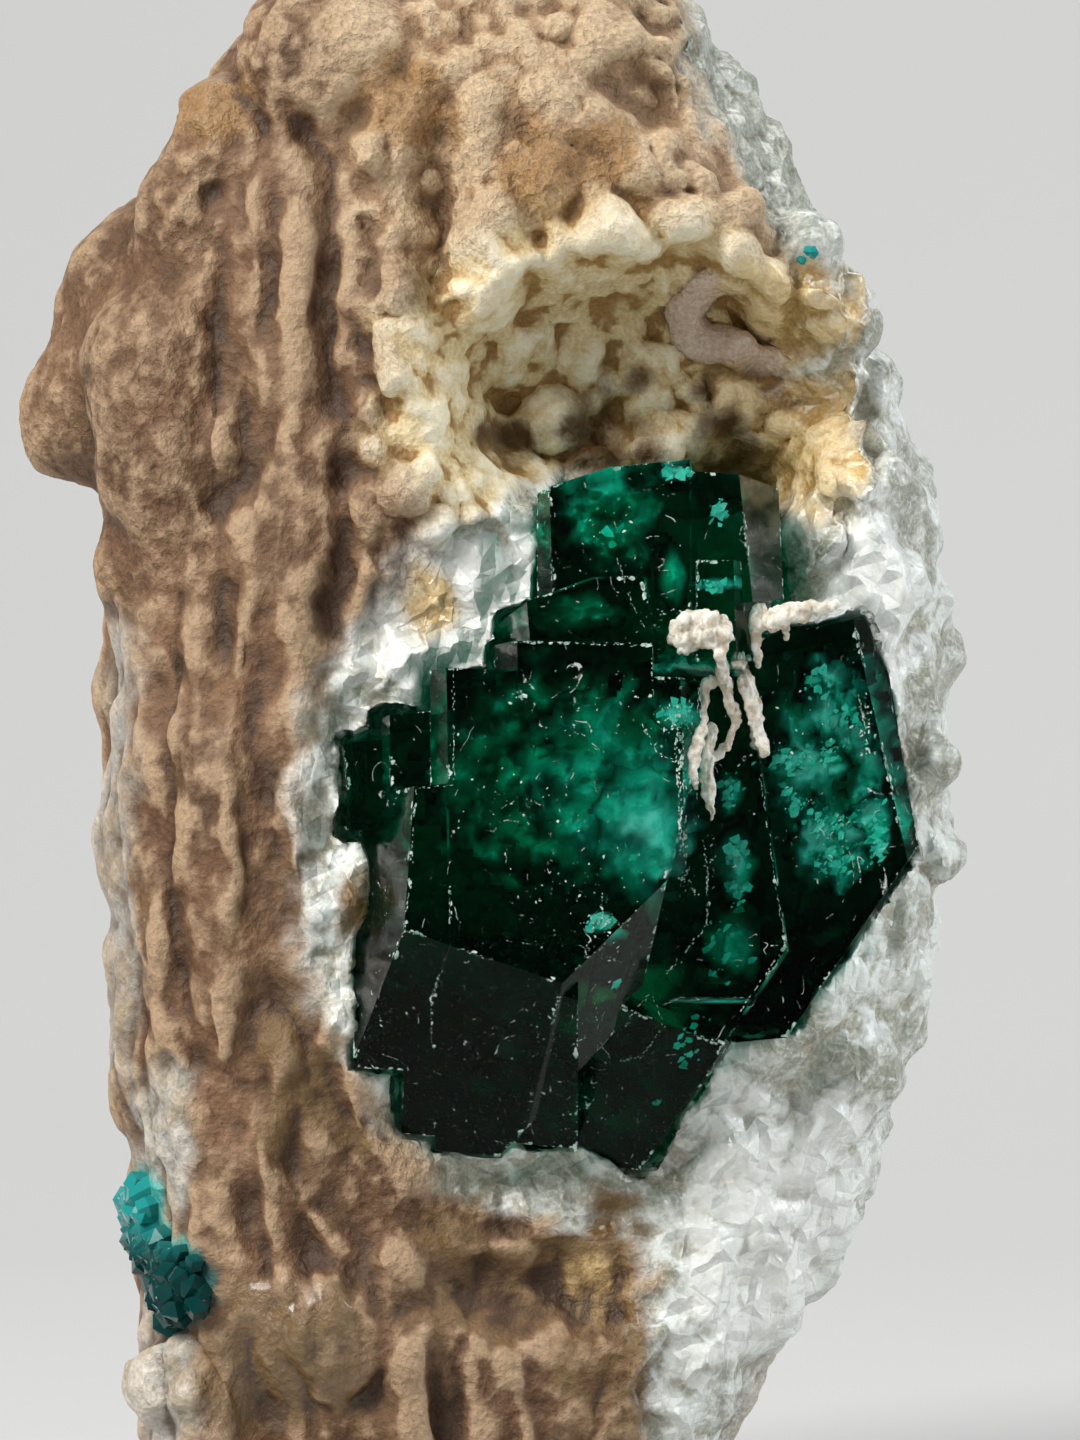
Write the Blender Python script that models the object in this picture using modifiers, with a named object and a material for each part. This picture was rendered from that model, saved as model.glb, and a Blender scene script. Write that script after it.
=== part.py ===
"""Dioptase crystals on their matrix stone.

The stone stands on a flat broken base. Its left side and top carry a lumpy tan crust, its
right side is broken quartz, and a hollow in its front holds the green crystals.
X runs to the right, Y to the back and Z up. The origin is the middle of the base.
"""
import math
import random

import bmesh
import bpy
import numpy as np
from mathutils import Matrix, Vector, noise

MM = 0.001
COLLECTION = "dioptase_specimen"
CUTTERS = "pocket_cutters"

# Stone body
STONE_HEIGHT = 58.8 * MM
DOME_START = 51.0 * MM
BELOW_BASE = 1.5 * MM
SECTION_POWER = 2.7
RINGS = 72
SEGMENTS = 96
# Height, left edge, right edge, front depth and back depth of the stone, in millimetres
STATIONS = (
    (0.0, -11.8, 6.8, 6.2, 9.2),
    (2.5, -12.6, 7.8, 7.0, 10.4),
    (6.0, -12.9, 9.4, 7.4, 11.2),
    (11.5, -12.9, 13.2, 8.0, 12.2),
    (17.0, -13.7, 15.0, 8.8, 12.8),
    (23.0, -13.9, 16.2, 9.4, 13.0),
    (28.5, -14.0, 16.6, 9.6, 13.0),
    (34.0, -14.0, 16.5, 9.6, 12.8),
    (38.0, -13.9, 15.8, 9.4, 12.4),
    (42.5, -13.4, 14.2, 9.2, 11.8),
    (46.5, -12.7, 12.3, 9.0, 11.0),
    (50.5, -11.6, 10.2, 8.8, 10.0),
    (54.0, -9.6, 8.6, 8.2, 9.0),
    (58.8, -9.0, 8.0, 7.4, 8.0),
)

# Hollows pushed into the front: centre X and Z, half width, half height, depth, edge softness
HOLLOWS = (
    (5.6, 40.2, 7.6, 5.4, 4.6, 0.55),
    (9.2, 36.6, 3.0, 2.4, 2.2, 0.7),
    (4.6, 26.0, 11.0, 13.0, 2.0, 0.45),
    (2.4, 14.6, 7.0, 4.0, 1.4, 0.7),
    (-1.7, 47.0, 0.9, 3.6, 1.3, 0.8),
    (5.4, 51.6, 1.1, 1.0, 1.2, 0.9),
    (1.6, 9.6, 3.6, 1.3, 1.2, 0.8),
)

# The push fades out between this depth in front of the middle plane and the plane itself
HOLLOW_FADE = 3.0 * MM

# Flat breaks of the quartz: outward direction and distance from the stone's middle
STONE_MIDDLE = Vector((0.0, 1.5 * MM, 29.0 * MM))
BREAKS = (
    ((0.80, -0.55, -0.25), 18.2 * MM),
    ((0.90, 0.43, 0.05), 15.4 * MM),
    ((0.25, 0.95, 0.10), 11.4 * MM),
    ((-0.62, 0.76, -0.15), 13.2 * MM),
    ((0.50, 0.66, -0.56), 20.0 * MM),
    ((0.50, 0.45, 0.74), 22.5 * MM),
)

# Large lumps of the crust: X, Z, radius and how far they stand proud of the body
KNOBS = (
    (-13.4, 45.2, 2.6, 1.2),
    (-14.4, 40.6, 3.2, 1.9),
    (-13.6, 35.4, 1.5, 1.3),
    (-12.2, 42.8, 2.4, 0.9),
    (-2.9, 51.3, 1.7, 0.7),
    (1.8, 49.3, 1.6, 0.4),
    (4.1, 53.7, 1.3, 0.8),
    (-2.2, 34.0, 1.2, 0.4),
    (-3.2, 31.5, 1.5, 0.5),
    (-4.6, 37.2, 1.4, 0.5),
    (-12.0, 4.3, 2.3, 0.5),
    (-6.8, 7.8, 2.6, 0.6),
    (15.3, 28.4, 0.9, 0.5),
    (15.6, 24.9, 1.2, 0.6),
)
# Lumps in the hollow
VUG_LUMPS = (
    (4.7, 45.5, 1.5), (4.4, 43.9, 1.2), (3.2, 42.9, 1.2), (1.2, 42.6, 1.3), (-1.6, 40.9, 1.6),
    (2.2, 40.5, 1.3), (5.1, 42.1, 1.2), (8.6, 41.4, 1.1), (11.3, 40.5, 1.2), (10.7, 38.1, 1.6),
    (12.4, 39.0, 0.9), (8.9, 39.3, 0.9), (11.1, 36.1, 1.3), (9.6, 44.8, 1.2), (11.4, 43.6, 1.3),
    (7.6, 44.4, 1.1), (7.0, 39.5, 1.2), (0.3, 44.9, 1.2), (-0.4, 38.4, 1.2), (6.6, 46.9, 1.1),
)
LUMP_PROUD = 0.5
LUMP_SQUASH = 0.8
SEED = 17
CRUST_LUMPS = 90
CRUST_LUMP_MIN = 0.7 * MM
CRUST_LUMP_MAX = 1.6 * MM

# Relief of the crust and the broken quartz
VOXEL = 0.45 * MM
RIDGE_WIDTH = 2.2 * MM
RIDGE_LENGTH = 9.0 * MM
RIDGE_HEIGHT = 0.75 * MM
ROUGH_SIZE = 5.0 * MM
ROUGH_HEIGHT = 0.55 * MM
STONE_FACES = 7000
CRUST_EDGE = 3.0 * MM

# Crystals
GAP = 0.3 * MM
CRYSTAL_BLOCK = 80.0 * MM

# Crystals of the cluster. Each has its front (depth, sideways lean, upward lean), the depth of
# its back, and its faces: two points of the line where the face meets the front, clockwise in
# the front view, and the face's tilt. Points are X and Z, and Y where it isn't the front's.
BACK = -3.0
BACK_STEP = 0.09
CLUSTER = {
    "main": ((-12.0, -0.04, 0.03), BACK, (
        ((-1.3, 31.6), (7.3, 31.2), 96),
        ((6.44, 31.0), (6.72, 24.8), 56),
        ((7.25, 31.2), (7.6, 22.5), 92),
        ((6.72, 24.8), (2.45, 20.65), 50),
        ((7.7, 22.5), (4.9, 19.4), 92),
        ((4.9, 19.4), (3.6, 14.0), 88),
        ((2.45, 20.65), (-1.3, 22.2), 33),
        ((5.7, 13.9), (-1.0, 14.4), 92),
        ((-1.3, 22.0), (-1.3, 31.6), 62),
        ((-2.17, 14.0), (-2.17, 31.6), 92))),
    "top_step": ((-11.85, -0.04, 0.03), BACK, (
        ((0.95, 32.5), (5.55, 32.4), 96),
        ((5.55, 32.4), (5.6, 30.5), 84),
        ((5.6, 30.5), (0.95, 30.5), 90),
        ((0.95, 30.5), (0.95, 32.5), 62),
        ((0.05, 30.5), (0.05, 32.4), 92))),
    "left_step": ((-11.7, -0.04, 0.03), BACK, (
        ((-2.6, 27.5), (1.0, 27.7), 96),
        ((1.0, 27.7), (1.0, 17.3), 90),
        ((2.45, 20.35), (-2.95, 22.65), 33),
        ((1.0, 17.3), (-4.4, 17.45), 92),
        ((-2.95, 22.7), (-2.56, 27.4), 66),
        ((-4.9, 17.0), (-4.9, 27.4), 91))),
    "foot": ((-11.6, -0.04, 0.03), BACK, (
        ((-2.9, 22.0), (3.0, 22.0), 90),
        ((3.0, 22.0), (3.0, 14.6), 90),
        ((2.45, 20.2), (-2.95, 22.5), 34),
        ((3.0, 14.65), (-2.87, 15.05), 92),
        ((-2.87, 15.0), (-2.87, 22.0), 86))),
    "wedge": ((-9.5, 0.02, 0.02), BACK, (
        ((4.5, 31.3), (9.0, 31.3), 96),
        ((8.85, 31.3), (10.25, 21.8), 75),
        ((10.4, 22.1), (8.05, 18.5), 60),
        ((10.7, 22.1), (8.3, 18.4), 92),
        ((8.05, 18.4), (5.0, 19.45), 33),
        ((8.05, 18.4), (5.7, 13.65, -6.2), 58),
        ((9.0, 18.2), (6.5, 13.65), 91),
        ((6.5, 13.65), (1.0, 14.15), 92),
        ((0.4, 14.0), (4.5, 31.3), 90))),
    "right": ((-9.0, 0.05, 0.02), BACK, (
        ((8.9, 32.5), (12.5, 33.25), 96),
        ((12.5, 33.25), (14.46, 24.8), 58),
        ((13.1, 33.2), (13.95, 31.0), 92),
        ((13.95, 31.0), (15.0, 25.2), 92),
        ((14.46, 24.8), (10.3, 18.7), 86),
        ((10.3, 18.7), (8.1, 18.5), 92),
        ((8.3, 18.5), (8.9, 32.5), 84))),
    "upper": ((-10.4, -0.03, 0.05), -1.5, (
        ((2.1, 37.9), (4.1, 38.55), 96),
        ((4.1, 38.55), (6.9, 38.8), 96),
        ((6.86, 38.8), (6.95, 32.0), 84),
        ((6.95, 32.0), (2.1, 32.0), 90),
        ((2.15, 32.0), (2.1, 37.9), 62),
        ((1.55, 32.0), (1.55, 37.9), 92))),
    "upper_right": ((-10.0, 0.03, 0.05), -1.5, (
        ((6.0, 38.45), (8.6, 38.3), 96),
        ((8.54, 38.4), (8.95, 35.2), 64),
        ((10.15, 38.4), (10.3, 33.9), 92),
        ((10.3, 33.9), (6.0, 33.7), 92),
        ((6.0, 33.7), (6.0, 38.45), 90))),
    "upper_right_step": ((-10.6, 0.0, 0.05), -1.5, (
        ((7.1, 35.3), (8.4, 35.3), 96),
        ((8.35, 35.3), (8.5, 32.6), 60),
        ((8.4, 35.5), (10.1, 34.4), 92),
        ((10.1, 34.4), (9.1, 31.8), 92),
        ((9.1, 31.8), (7.1, 31.8), 90),
        ((7.1, 31.8), (7.1, 35.3), 88))),
    "upper_left_step": ((-11.2, -0.03, 0.04), BACK, (
        ((1.2, 33.85), (3.5, 34.7), 96),
        ((3.5, 34.7), (5.3, 34.75), 96),
        ((5.25, 34.75), (5.75, 32.0), 82),
        ((5.75, 31.7), (1.2, 31.7), 90),
        ((1.4, 31.7), (1.25, 33.85), 72))),
    "left_upper": ((-9.9, -0.1, 0.03), BACK, (
        ((-3.5, 29.95), (-1.7, 30.1), 96),
        ((-1.7, 30.1), (-1.7, 27.2), 90),
        ((-1.7, 27.2), (-3.5, 27.2), 92),
        ((-3.5, 27.2), (-3.5, 29.95), 72),
        ((-3.9, 27.2), (-3.9, 30.0), 91))),
    "left_lower": ((-8.9, -0.1, 0.03), BACK, (
        ((-5.1, 28.95), (-3.2, 29.15), 95),
        ((-3.2, 29.15), (-3.2, 26.0), 90),
        ((-3.2, 26.0), (-4.9, 25.9), 92),
        ((-4.9, 25.9), (-5.15, 28.95), 78))),
}

# Small crystals on the lower left side of the stone
SIDE_FRONT = -4.6
SIDE_BACK = -0.5
SIDE_PLACES = (
    (-10.9, 9.5, 1.1, 1.5, 0.0), (-11.7, 10.6, 0.9, 1.1, 0.5), (-12.4, 11.6, 0.6, 0.8, 1.0),
    (-10.6, 8.3, 0.7, 0.6, 0.1), (-12.6, 12.5, 0.5, 0.6, 1.3),
)


def side_block(x, z, half_width, half_height, behind):
    """One small side crystal, six sided with a slanting top and bottom."""
    front = SIDE_FRONT + behind
    left, right, top, low = x - half_width, x + half_width, z + half_height, z - half_height
    slant = half_width * 0.5
    faces = (((left, top - slant), (x, top), 88), ((x, top), (right, top - slant), 84),
             ((right, top), (right, low), 75), ((right, low + slant), (x, low), 84),
             ((x, low), (left, low + slant), 88), ((left, low), (left, top), 72))
    return (front, -0.25, 0.1), SIDE_BACK, faces


SIDE_CRYSTALS = {f"side_{k}": side_block(*place) for k, place in enumerate(SIDE_PLACES)}

# Cream crust between the crystals: X, Z, Y and radius along each strand, in millimetres
CRUST_STEP = 0.3
CRUST_VOXEL = 0.2 * MM
CRUST_KEEP = 0.25
STRANDS = (
    ((6.4, 32.6, -11.5, 0.35), (7.2, 32.95, -11.4, 0.5), (8.0, 32.9, -11.2, 0.45),
     (8.15, 32.3, -11.0, 0.35)),
    ((7.9, 32.5, -11.1, 0.32), (8.2, 31.2, -10.7, 0.3), (8.8, 29.7, -10.4, 0.34)),
    ((8.0, 31.8, -10.9, 0.28), (7.5, 31.0, -11.6, 0.32), (7.1, 29.3, -11.6, 0.4),
     (7.0, 27.8, -11.6, 0.42), (7.55, 26.5, -11.3, 0.26)),
    ((8.2, 32.3, -11.0, 0.3), (8.7, 31.6, -10.6, 0.28), (9.5, 28.9, -10.3, 0.3),
     (9.6, 28.4, -10.2, 0.36)),
)
CORNER_STRANDS = (
    ((9.25, 31.8, -10.1, 0.32), (9.3, 32.8, -10.1, 0.36), (9.5, 33.6, -9.9, 0.42),
     (10.6, 33.75, -9.5, 0.42), (12.2, 33.9, -9.2, 0.3)),
)


def remove_startup_objects():
    for thing in list(bpy.data.objects):
        bpy.data.objects.remove(thing, do_unlink=True)


def new_collection(name):
    collection = bpy.data.collections.new(name)
    bpy.context.scene.collection.children.link(collection)
    return collection


def principled(name, colour, roughness, transmission=0.0, ior=1.5):
    material = bpy.data.materials.new(name)
    material.use_nodes = True
    shader = material.node_tree.nodes["Principled BSDF"]
    shader.inputs["Base Color"].default_value = (*colour, 1.0)
    shader.inputs["Roughness"].default_value = roughness
    shader.inputs["Metallic"].default_value = 0.0
    shader.inputs["Transmission Weight"].default_value = transmission
    shader.inputs["IOR"].default_value = ior
    material.diffuse_color = (*colour, 1.0)
    return material


def mesh_object(name, form, collection, material=None):
    """Make an object from a bmesh and free the bmesh."""
    mesh = bpy.data.meshes.new(name)
    form.to_mesh(mesh)
    form.free()
    made = bpy.data.objects.new(name, mesh)
    collection.objects.link(made)
    if material:
        mesh.materials.append(material)
    return made


def apply_modifiers(thing):
    """Replace the object's mesh by its evaluated mesh and remove its modifiers."""
    bpy.context.view_layer.update()
    evaluated = thing.evaluated_get(bpy.context.evaluated_depsgraph_get())
    baked = bpy.data.meshes.new_from_object(evaluated)
    thing.modifiers.clear()
    old = thing.data
    thing.data = baked
    baked.name = thing.name
    bpy.data.meshes.remove(old)


def boolean(thing, other, operation):
    """Apply one exact Boolean and keep the result as the object's mesh."""
    modifier = thing.modifiers.new(operation.lower(), "BOOLEAN")
    modifier.operation = operation
    modifier.solver = "EXACT"
    modifier.object = other
    apply_modifiers(thing)


def station_at(height):
    """Left, right, front and back reach of the body at one height, in metres."""
    heights = [row[0] * MM for row in STATIONS]
    return [np.interp(height, heights, [row[k] * MM for row in STATIONS]) for k in range(1, 5)]


def dome_scale(height):
    """Shrink the sections above DOME_START into a rounded top."""
    rise = max(0.0, (height - DOME_START) / (STONE_HEIGHT - DOME_START))
    return math.sqrt(max(0.0, 1.0 - rise ** 2.4))


def body_point(angle, height):
    """A point of the smooth body: angle 0 is right, a quarter turn is back."""
    left, right, front, back = station_at(height)
    scale = dome_scale(height)
    cosine, sine = math.cos(angle), math.sin(angle)
    reach_x = right if cosine > 0.0 else -left
    reach_y = back if sine > 0.0 else front
    power = 2.0 / SECTION_POWER
    x = math.copysign(abs(cosine) ** power, cosine) * reach_x * scale
    y = math.copysign(abs(sine) ** power, sine) * reach_y * scale
    return Vector((x, y, height))


def front_depth(x, height):
    """Y of the smooth body's front surface at one place of the front view."""
    left, right, front, _ = station_at(height)
    scale = max(dome_scale(height), 0.01)
    reach = (right if x > 0.0 else -left) * scale
    share = min(abs(x) / reach, 1.0)
    return -front * scale * (1.0 - share ** SECTION_POWER) ** (1.0 / SECTION_POWER)


def crust_share(point):
    """1 where the tan crust covers the stone, 0 on the bare quartz."""
    wander = noise.noise(point / (6.0 * MM)) * 2.0 * MM
    height = point.z
    edge = np.interp(height / MM, (0.0, 12.0, 20.0, 32.0, 42.0, 59.0),
                     (4.5, 3.0, -5.0, -2.0, 8.0, 6.0)) * MM
    behind = max(0.0, point.y - 4.0 * MM) * 0.9
    return min(max((edge - behind + wander - point.x) / CRUST_EDGE + 0.5, 0.0), 1.0)


def hollow_push(x, height):
    """How far the hollows push the front surface back at one place of the front view."""
    push = 0.0
    for centre_x, centre_z, half_width, half_height, depth, soft in HOLLOWS:
        across = (x / MM - centre_x) / half_width
        along = (height / MM - centre_z) / half_height
        radius = math.hypot(across, along)
        share = min(max((1.0 + soft - radius) / (2.0 * soft), 0.0), 1.0)
        push += depth * MM * share * share * (3.0 - 2.0 * share)
    return push


def add_lump(form, centre, radius, direction):
    """Add one flattened ball whose flat side lies against the body."""
    turn = direction.to_track_quat("Z", "Y").to_matrix().to_4x4()
    squash = Matrix.Diagonal((radius, radius, radius * LUMP_SQUASH, 1.0))
    place = Matrix.Translation(centre) @ turn @ squash
    bmesh.ops.create_icosphere(form, subdivisions=2, radius=1.0, matrix=place)


def outward(x, y, height):
    """Rough outward direction of the body at a point."""
    return Vector((x, y * 1.2, (height - STONE_MIDDLE.z) * 0.2)).normalized()


def stone_body():
    """A sphere shaped to the stone's sections, as a bmesh."""
    form = bmesh.new()
    bmesh.ops.create_uvsphere(form, u_segments=SEGMENTS, v_segments=RINGS, radius=1.0)
    for vert in form.verts:
        share = vert.co.z * 0.5 + 0.5
        height = share * (STONE_HEIGHT + BELOW_BASE) - BELOW_BASE
        angle = math.atan2(vert.co.y, vert.co.x)
        if abs(vert.co.z) > 0.9999:
            vert.co = Vector((0.0, 0.0, height))
        else:
            vert.co = body_point(angle, height)
    return form


def add_front_lumps(form):
    """The knobs of the crust and the lumps in the hollow, placed on the front surface."""
    for x, z, radius, proud in KNOBS:
        y = front_depth(x * MM, z * MM)
        direction = outward(x * MM, y, z * MM)
        centre = Vector((x * MM, y, z * MM)) + direction * (proud - radius * 0.5) * MM
        add_lump(form, centre, radius * MM, direction)
    for x, z, radius in VUG_LUMPS:
        y = front_depth(x * MM, z * MM)
        centre = Vector((x * MM, y + (0.5 - LUMP_PROUD) * radius * MM, z * MM))
        add_lump(form, centre, radius * MM, Vector((0.0, -1.0, 0.2)))


def add_crust_lumps(form):
    """Scatter small lumps over the crust, more on the top than on the sides."""
    rng = random.Random(SEED)
    placed = 0
    while placed < CRUST_LUMPS:
        angle = rng.uniform(0.45, 1.9) * math.pi
        height = STONE_HEIGHT * rng.uniform(0.06, 0.96) ** 0.8
        radius = rng.uniform(CRUST_LUMP_MIN, CRUST_LUMP_MAX)
        point = body_point(angle, height)
        if crust_share(point) < rng.random() + 0.2:
            continue
        direction = outward(point.x, point.y, height)
        add_lump(form, point - direction * radius * 0.35, radius, direction)
        placed += 1


def flatten_breaks(point):
    """Move a point that lies past one of the quartz's breaks back onto it."""
    for direction, distance in BREAKS:
        normal = Vector(direction).normalized()
        past = (point - STONE_MIDDLE).dot(normal) - distance
        if past > 0.0:
            point = point - normal * past * 0.85
    return point


def relief(point):
    """Height of the relief along the surface normal."""
    crust = crust_share(point)
    sway = noise.noise(point / (9.0 * MM)) * 2.0 * MM
    stretched = Vector(((point.x + sway) / RIDGE_WIDTH, point.y / RIDGE_WIDTH,
                        point.z / RIDGE_LENGTH))
    ridge = 1.0 - abs(noise.noise(stretched)) * 2.6
    rough = noise.fractal(point / ROUGH_SIZE, 0.8, 2.1, 3)
    side = min(max((-point.x - 2.0 * MM) / (5.0 * MM), 0.0), 1.0)
    return crust * side * RIDGE_HEIGHT * (ridge - 0.4) + ROUGH_HEIGHT * rough


def shape_surface(stone):
    """Push the relief, the hollows and the breaks into the remeshed stone."""
    mesh = stone.data
    normals = [vert.normal.copy() for vert in mesh.vertices]
    for vert, normal in zip(mesh.vertices, normals):
        point = vert.co.copy()
        facing = min(max(-point.y / HOLLOW_FADE, 0.0), 1.0)
        raised = point + normal * relief(point)
        raised = flatten_breaks(raised)
        raised.y += hollow_push(point.x, point.z) * facing
        vert.co = raised
    mesh.update()


def cut_flat_base(stone):
    """Cut the stone flat at the base and close the cut."""
    form = bmesh.new()
    form.from_mesh(stone.data)
    everything = form.verts[:] + form.edges[:] + form.faces[:]
    bmesh.ops.bisect_plane(form, geom=everything, plane_co=(0.0, 0.0, 0.0),
                           plane_no=(0.0, 0.0, -1.0), clear_outer=True)
    rim = [edge for edge in form.edges if edge.is_boundary]
    bmesh.ops.triangle_fill(form, edges=rim, use_beauty=True)
    bmesh.ops.recalc_face_normals(form, faces=form.faces)
    form.to_mesh(stone.data)
    form.free()


def make_matrix(collection):
    form = stone_body()
    add_front_lumps(form)
    add_crust_lumps(form)
    material = principled("crusted_quartz", (0.42, 0.33, 0.22), 0.6)
    stone = mesh_object("matrix", form, collection, material)
    remesh = stone.modifiers.new("even_skin", "REMESH")
    remesh.mode = "VOXEL"
    remesh.voxel_size = VOXEL
    apply_modifiers(stone)
    shape_surface(stone)
    decimate = stone.modifiers.new("facets", "DECIMATE")
    decimate.ratio = STONE_FACES / (2.0 * len(stone.data.polygons))
    apply_modifiers(stone)
    cut_flat_base(stone)
    return stone


def edge_plane(start, end, depth, tilt):
    """The plane of a crystal face that meets the front view along one line.

    The lines of a crystal run clockwise in the front view, so outside is on their left.
    A tilt of 0 faces the viewer, 90 is square to the front and more than 90 is undercut.
    """
    first, last = (Vector((p[0], p[2] if len(p) > 2 else depth, p[1])) * MM for p in (start, end))
    along = (last - first).normalized()
    facing = Vector((0.0, -1.0, 0.0))
    facing = (facing - along * facing.dot(along)).normalized()
    across = facing.cross(along).normalized()
    angle = math.radians(tilt)
    return first, facing * math.cos(angle) + across * math.sin(angle)


def crystal_form(front, back, faces, grow):
    """One convex crystal as a bmesh, cut from a block by the planes of its faces."""
    depth, lean_x, lean_z = front
    middle_x = sum(face[0][0] for face in faces) / len(faces)
    middle_z = sum(face[0][1] for face in faces) / len(faces)
    planes = [(Vector((middle_x, depth, middle_z)) * MM, Vector((lean_x, -1.0, lean_z)).normalized()),
              (Vector((0.0, back, 0.0)) * MM, Vector((0.0, 1.0, 0.0)))]
    planes += [edge_plane(start, end, depth, tilt) for start, end, tilt in faces]
    form = bmesh.new()
    bmesh.ops.create_cube(form, size=CRYSTAL_BLOCK)
    for point, normal in planes:
        everything = form.verts[:] + form.edges[:] + form.faces[:]
        cut = bmesh.ops.bisect_plane(form, geom=everything, plane_co=point + normal * grow,
                                     plane_no=normal, clear_outer=True)
        rim = [item for item in cut["geom_cut"] if isinstance(item, bmesh.types.BMEdge)]
        if rim:
            bmesh.ops.contextual_create(form, geom=rim)
    return form


def make_crystals(name, collection, crystals, material, grow=0.0):
    """Union of crystals that have grown together.

    Each ends a little deeper than the one before it, so that no two backs share a plane.
    """
    cluster = None
    for k, (key, (front, back, faces)) in enumerate(crystals.items()):
        form = crystal_form(front, back + k * BACK_STEP, faces, grow)
        piece = mesh_object(f"{name}_{key}", form, collection, material)
        if cluster is None:
            cluster = piece
            continue
        boolean(cluster, piece, "UNION")
        bpy.data.objects.remove(piece, do_unlink=True)
    cluster.name = name
    return cluster


def make_crust(name, collection, strands, material, cutter):
    """A cream crust of balls strung along its strands, cut clear of the crystals."""
    form = bmesh.new()
    for strand in strands:
        for start, end in zip(strand, strand[1:]):
            first, last = Vector(start), Vector(end)
            steps = max(2, int((last.xyz - first.xyz).length / CRUST_STEP))
            for k in range(steps + 1):
                x, z, y, radius = first.lerp(last, k / steps)
                place = Matrix.Translation(Vector((x, y, z)) * MM)
                bmesh.ops.create_icosphere(form, subdivisions=2, radius=radius * MM, matrix=place)
    crust = mesh_object(name, form, collection, material)
    remesh = crust.modifiers.new("one_skin", "REMESH")
    remesh.mode = "VOXEL"
    remesh.voxel_size = CRUST_VOXEL
    apply_modifiers(crust)
    boolean(crust, cutter, "DIFFERENCE")
    decimate = crust.modifiers.new("facets", "DECIMATE")
    decimate.ratio = CRUST_KEEP
    apply_modifiers(crust)
    return crust


def centre_parts(collection):
    """Move every piece so that the origin is the middle of the whole box's base."""
    points = [vert.co for piece in collection.objects for vert in piece.data.vertices]
    middle_x = (min(p.x for p in points) + max(p.x for p in points)) / 2.0
    middle_y = (min(p.y for p in points) + max(p.y for p in points)) / 2.0
    for piece in collection.objects:
        piece.data.transform(Matrix.Translation((-middle_x, -middle_y, 0.0)))


def main():
    remove_startup_objects()
    parts = new_collection(COLLECTION)
    cutters = new_collection(CUTTERS)
    green = principled("dioptase_green", (0.0, 0.12, 0.08), 0.05, 0.6, 1.66)
    cream = principled("cream_crust", (0.75, 0.66, 0.52), 0.7)
    stone = make_matrix(parts)
    for name, crystals in (("dioptase_cluster", CLUSTER), ("side_crystals", SIDE_CRYSTALS)):
        make_crystals(name, parts, crystals, green)
        pocket = make_crystals(f"{name}_pocket", cutters, crystals, None, GAP)
        boolean(stone, pocket, "DIFFERENCE")
        pocket.hide_render = True
        pocket.display_type = "WIRE"
    pocket = bpy.data.objects["dioptase_cluster_pocket"]
    make_crust("crust_strands", parts, STRANDS, cream, pocket)
    make_crust("crust_corner", parts, CORNER_STRANDS, cream, pocket)
    centre_parts(parts)


if __name__ == "__main__":
    main()
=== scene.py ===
"""Studio model of a dioptase specimen: green crystals in a hollow of crusted quartz.

Every piece is shaped in millimetres in the specimen's own frame, X to the right, Y to the
back and Z up from the base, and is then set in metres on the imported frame.
"""
import math
import random

import bmesh
import bpy
import numpy as np
from bpy.props import FloatProperty, FloatVectorProperty, PointerProperty
from mathutils import Matrix, Vector, noise
from mathutils.bvhtree import BVHTree


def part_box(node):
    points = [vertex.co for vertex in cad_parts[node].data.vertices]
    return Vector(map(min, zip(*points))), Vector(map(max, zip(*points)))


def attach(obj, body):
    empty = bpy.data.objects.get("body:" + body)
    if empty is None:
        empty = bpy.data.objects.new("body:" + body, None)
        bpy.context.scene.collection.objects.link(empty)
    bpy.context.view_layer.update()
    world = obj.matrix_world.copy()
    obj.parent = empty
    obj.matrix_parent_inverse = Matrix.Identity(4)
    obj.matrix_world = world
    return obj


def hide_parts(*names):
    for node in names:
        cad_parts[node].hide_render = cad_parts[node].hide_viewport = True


bl_info = {
    "name": "Dioptase specimen",
    "version": (1, 0, 0),
    "blender": (4, 5, 0),
    "location": "View3D > Sidebar > Specimen",
    "description": "Builds the dressed dioptase specimen and its studio",
    "category": "Add Mesh",
}

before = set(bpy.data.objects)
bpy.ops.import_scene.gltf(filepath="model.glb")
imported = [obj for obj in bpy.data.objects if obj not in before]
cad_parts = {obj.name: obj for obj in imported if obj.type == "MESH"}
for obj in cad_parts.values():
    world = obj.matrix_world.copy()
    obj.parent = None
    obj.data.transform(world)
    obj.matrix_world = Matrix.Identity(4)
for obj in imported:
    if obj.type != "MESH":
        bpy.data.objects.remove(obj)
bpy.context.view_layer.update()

MM = 0.001
# Lowest corner of the crystal cluster in the specimen's own frame, in millimetres
CLUSTER_CORNER = Vector((-6.56, -12.06, 13.88))
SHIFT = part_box("dioptase_cluster")[0] - CLUSTER_CORNER * MM
TO_METRES = Matrix.Translation(SHIFT) @ Matrix.Scale(MM, 4)
TO_MM = TO_METRES.inverted()

# The photograph's frame: its height in millimetres at the crystals, and its middle
PHOTO_HEIGHT = 50.4
PHOTO_MIDDLE = Vector((1.68, -8.0, 29.75))

# Stone body: its height, where its dome starts, how far it goes on below the base before it is
# cut flat, how square its sections are, and the rings and segments of its mesh
STONE_HEIGHT = 58.8
DOME_START = 51.0
BELOW_BASE = 1.5
SECTION_POWER = 2.7
RINGS = 72
SEGMENTS = 96
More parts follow.
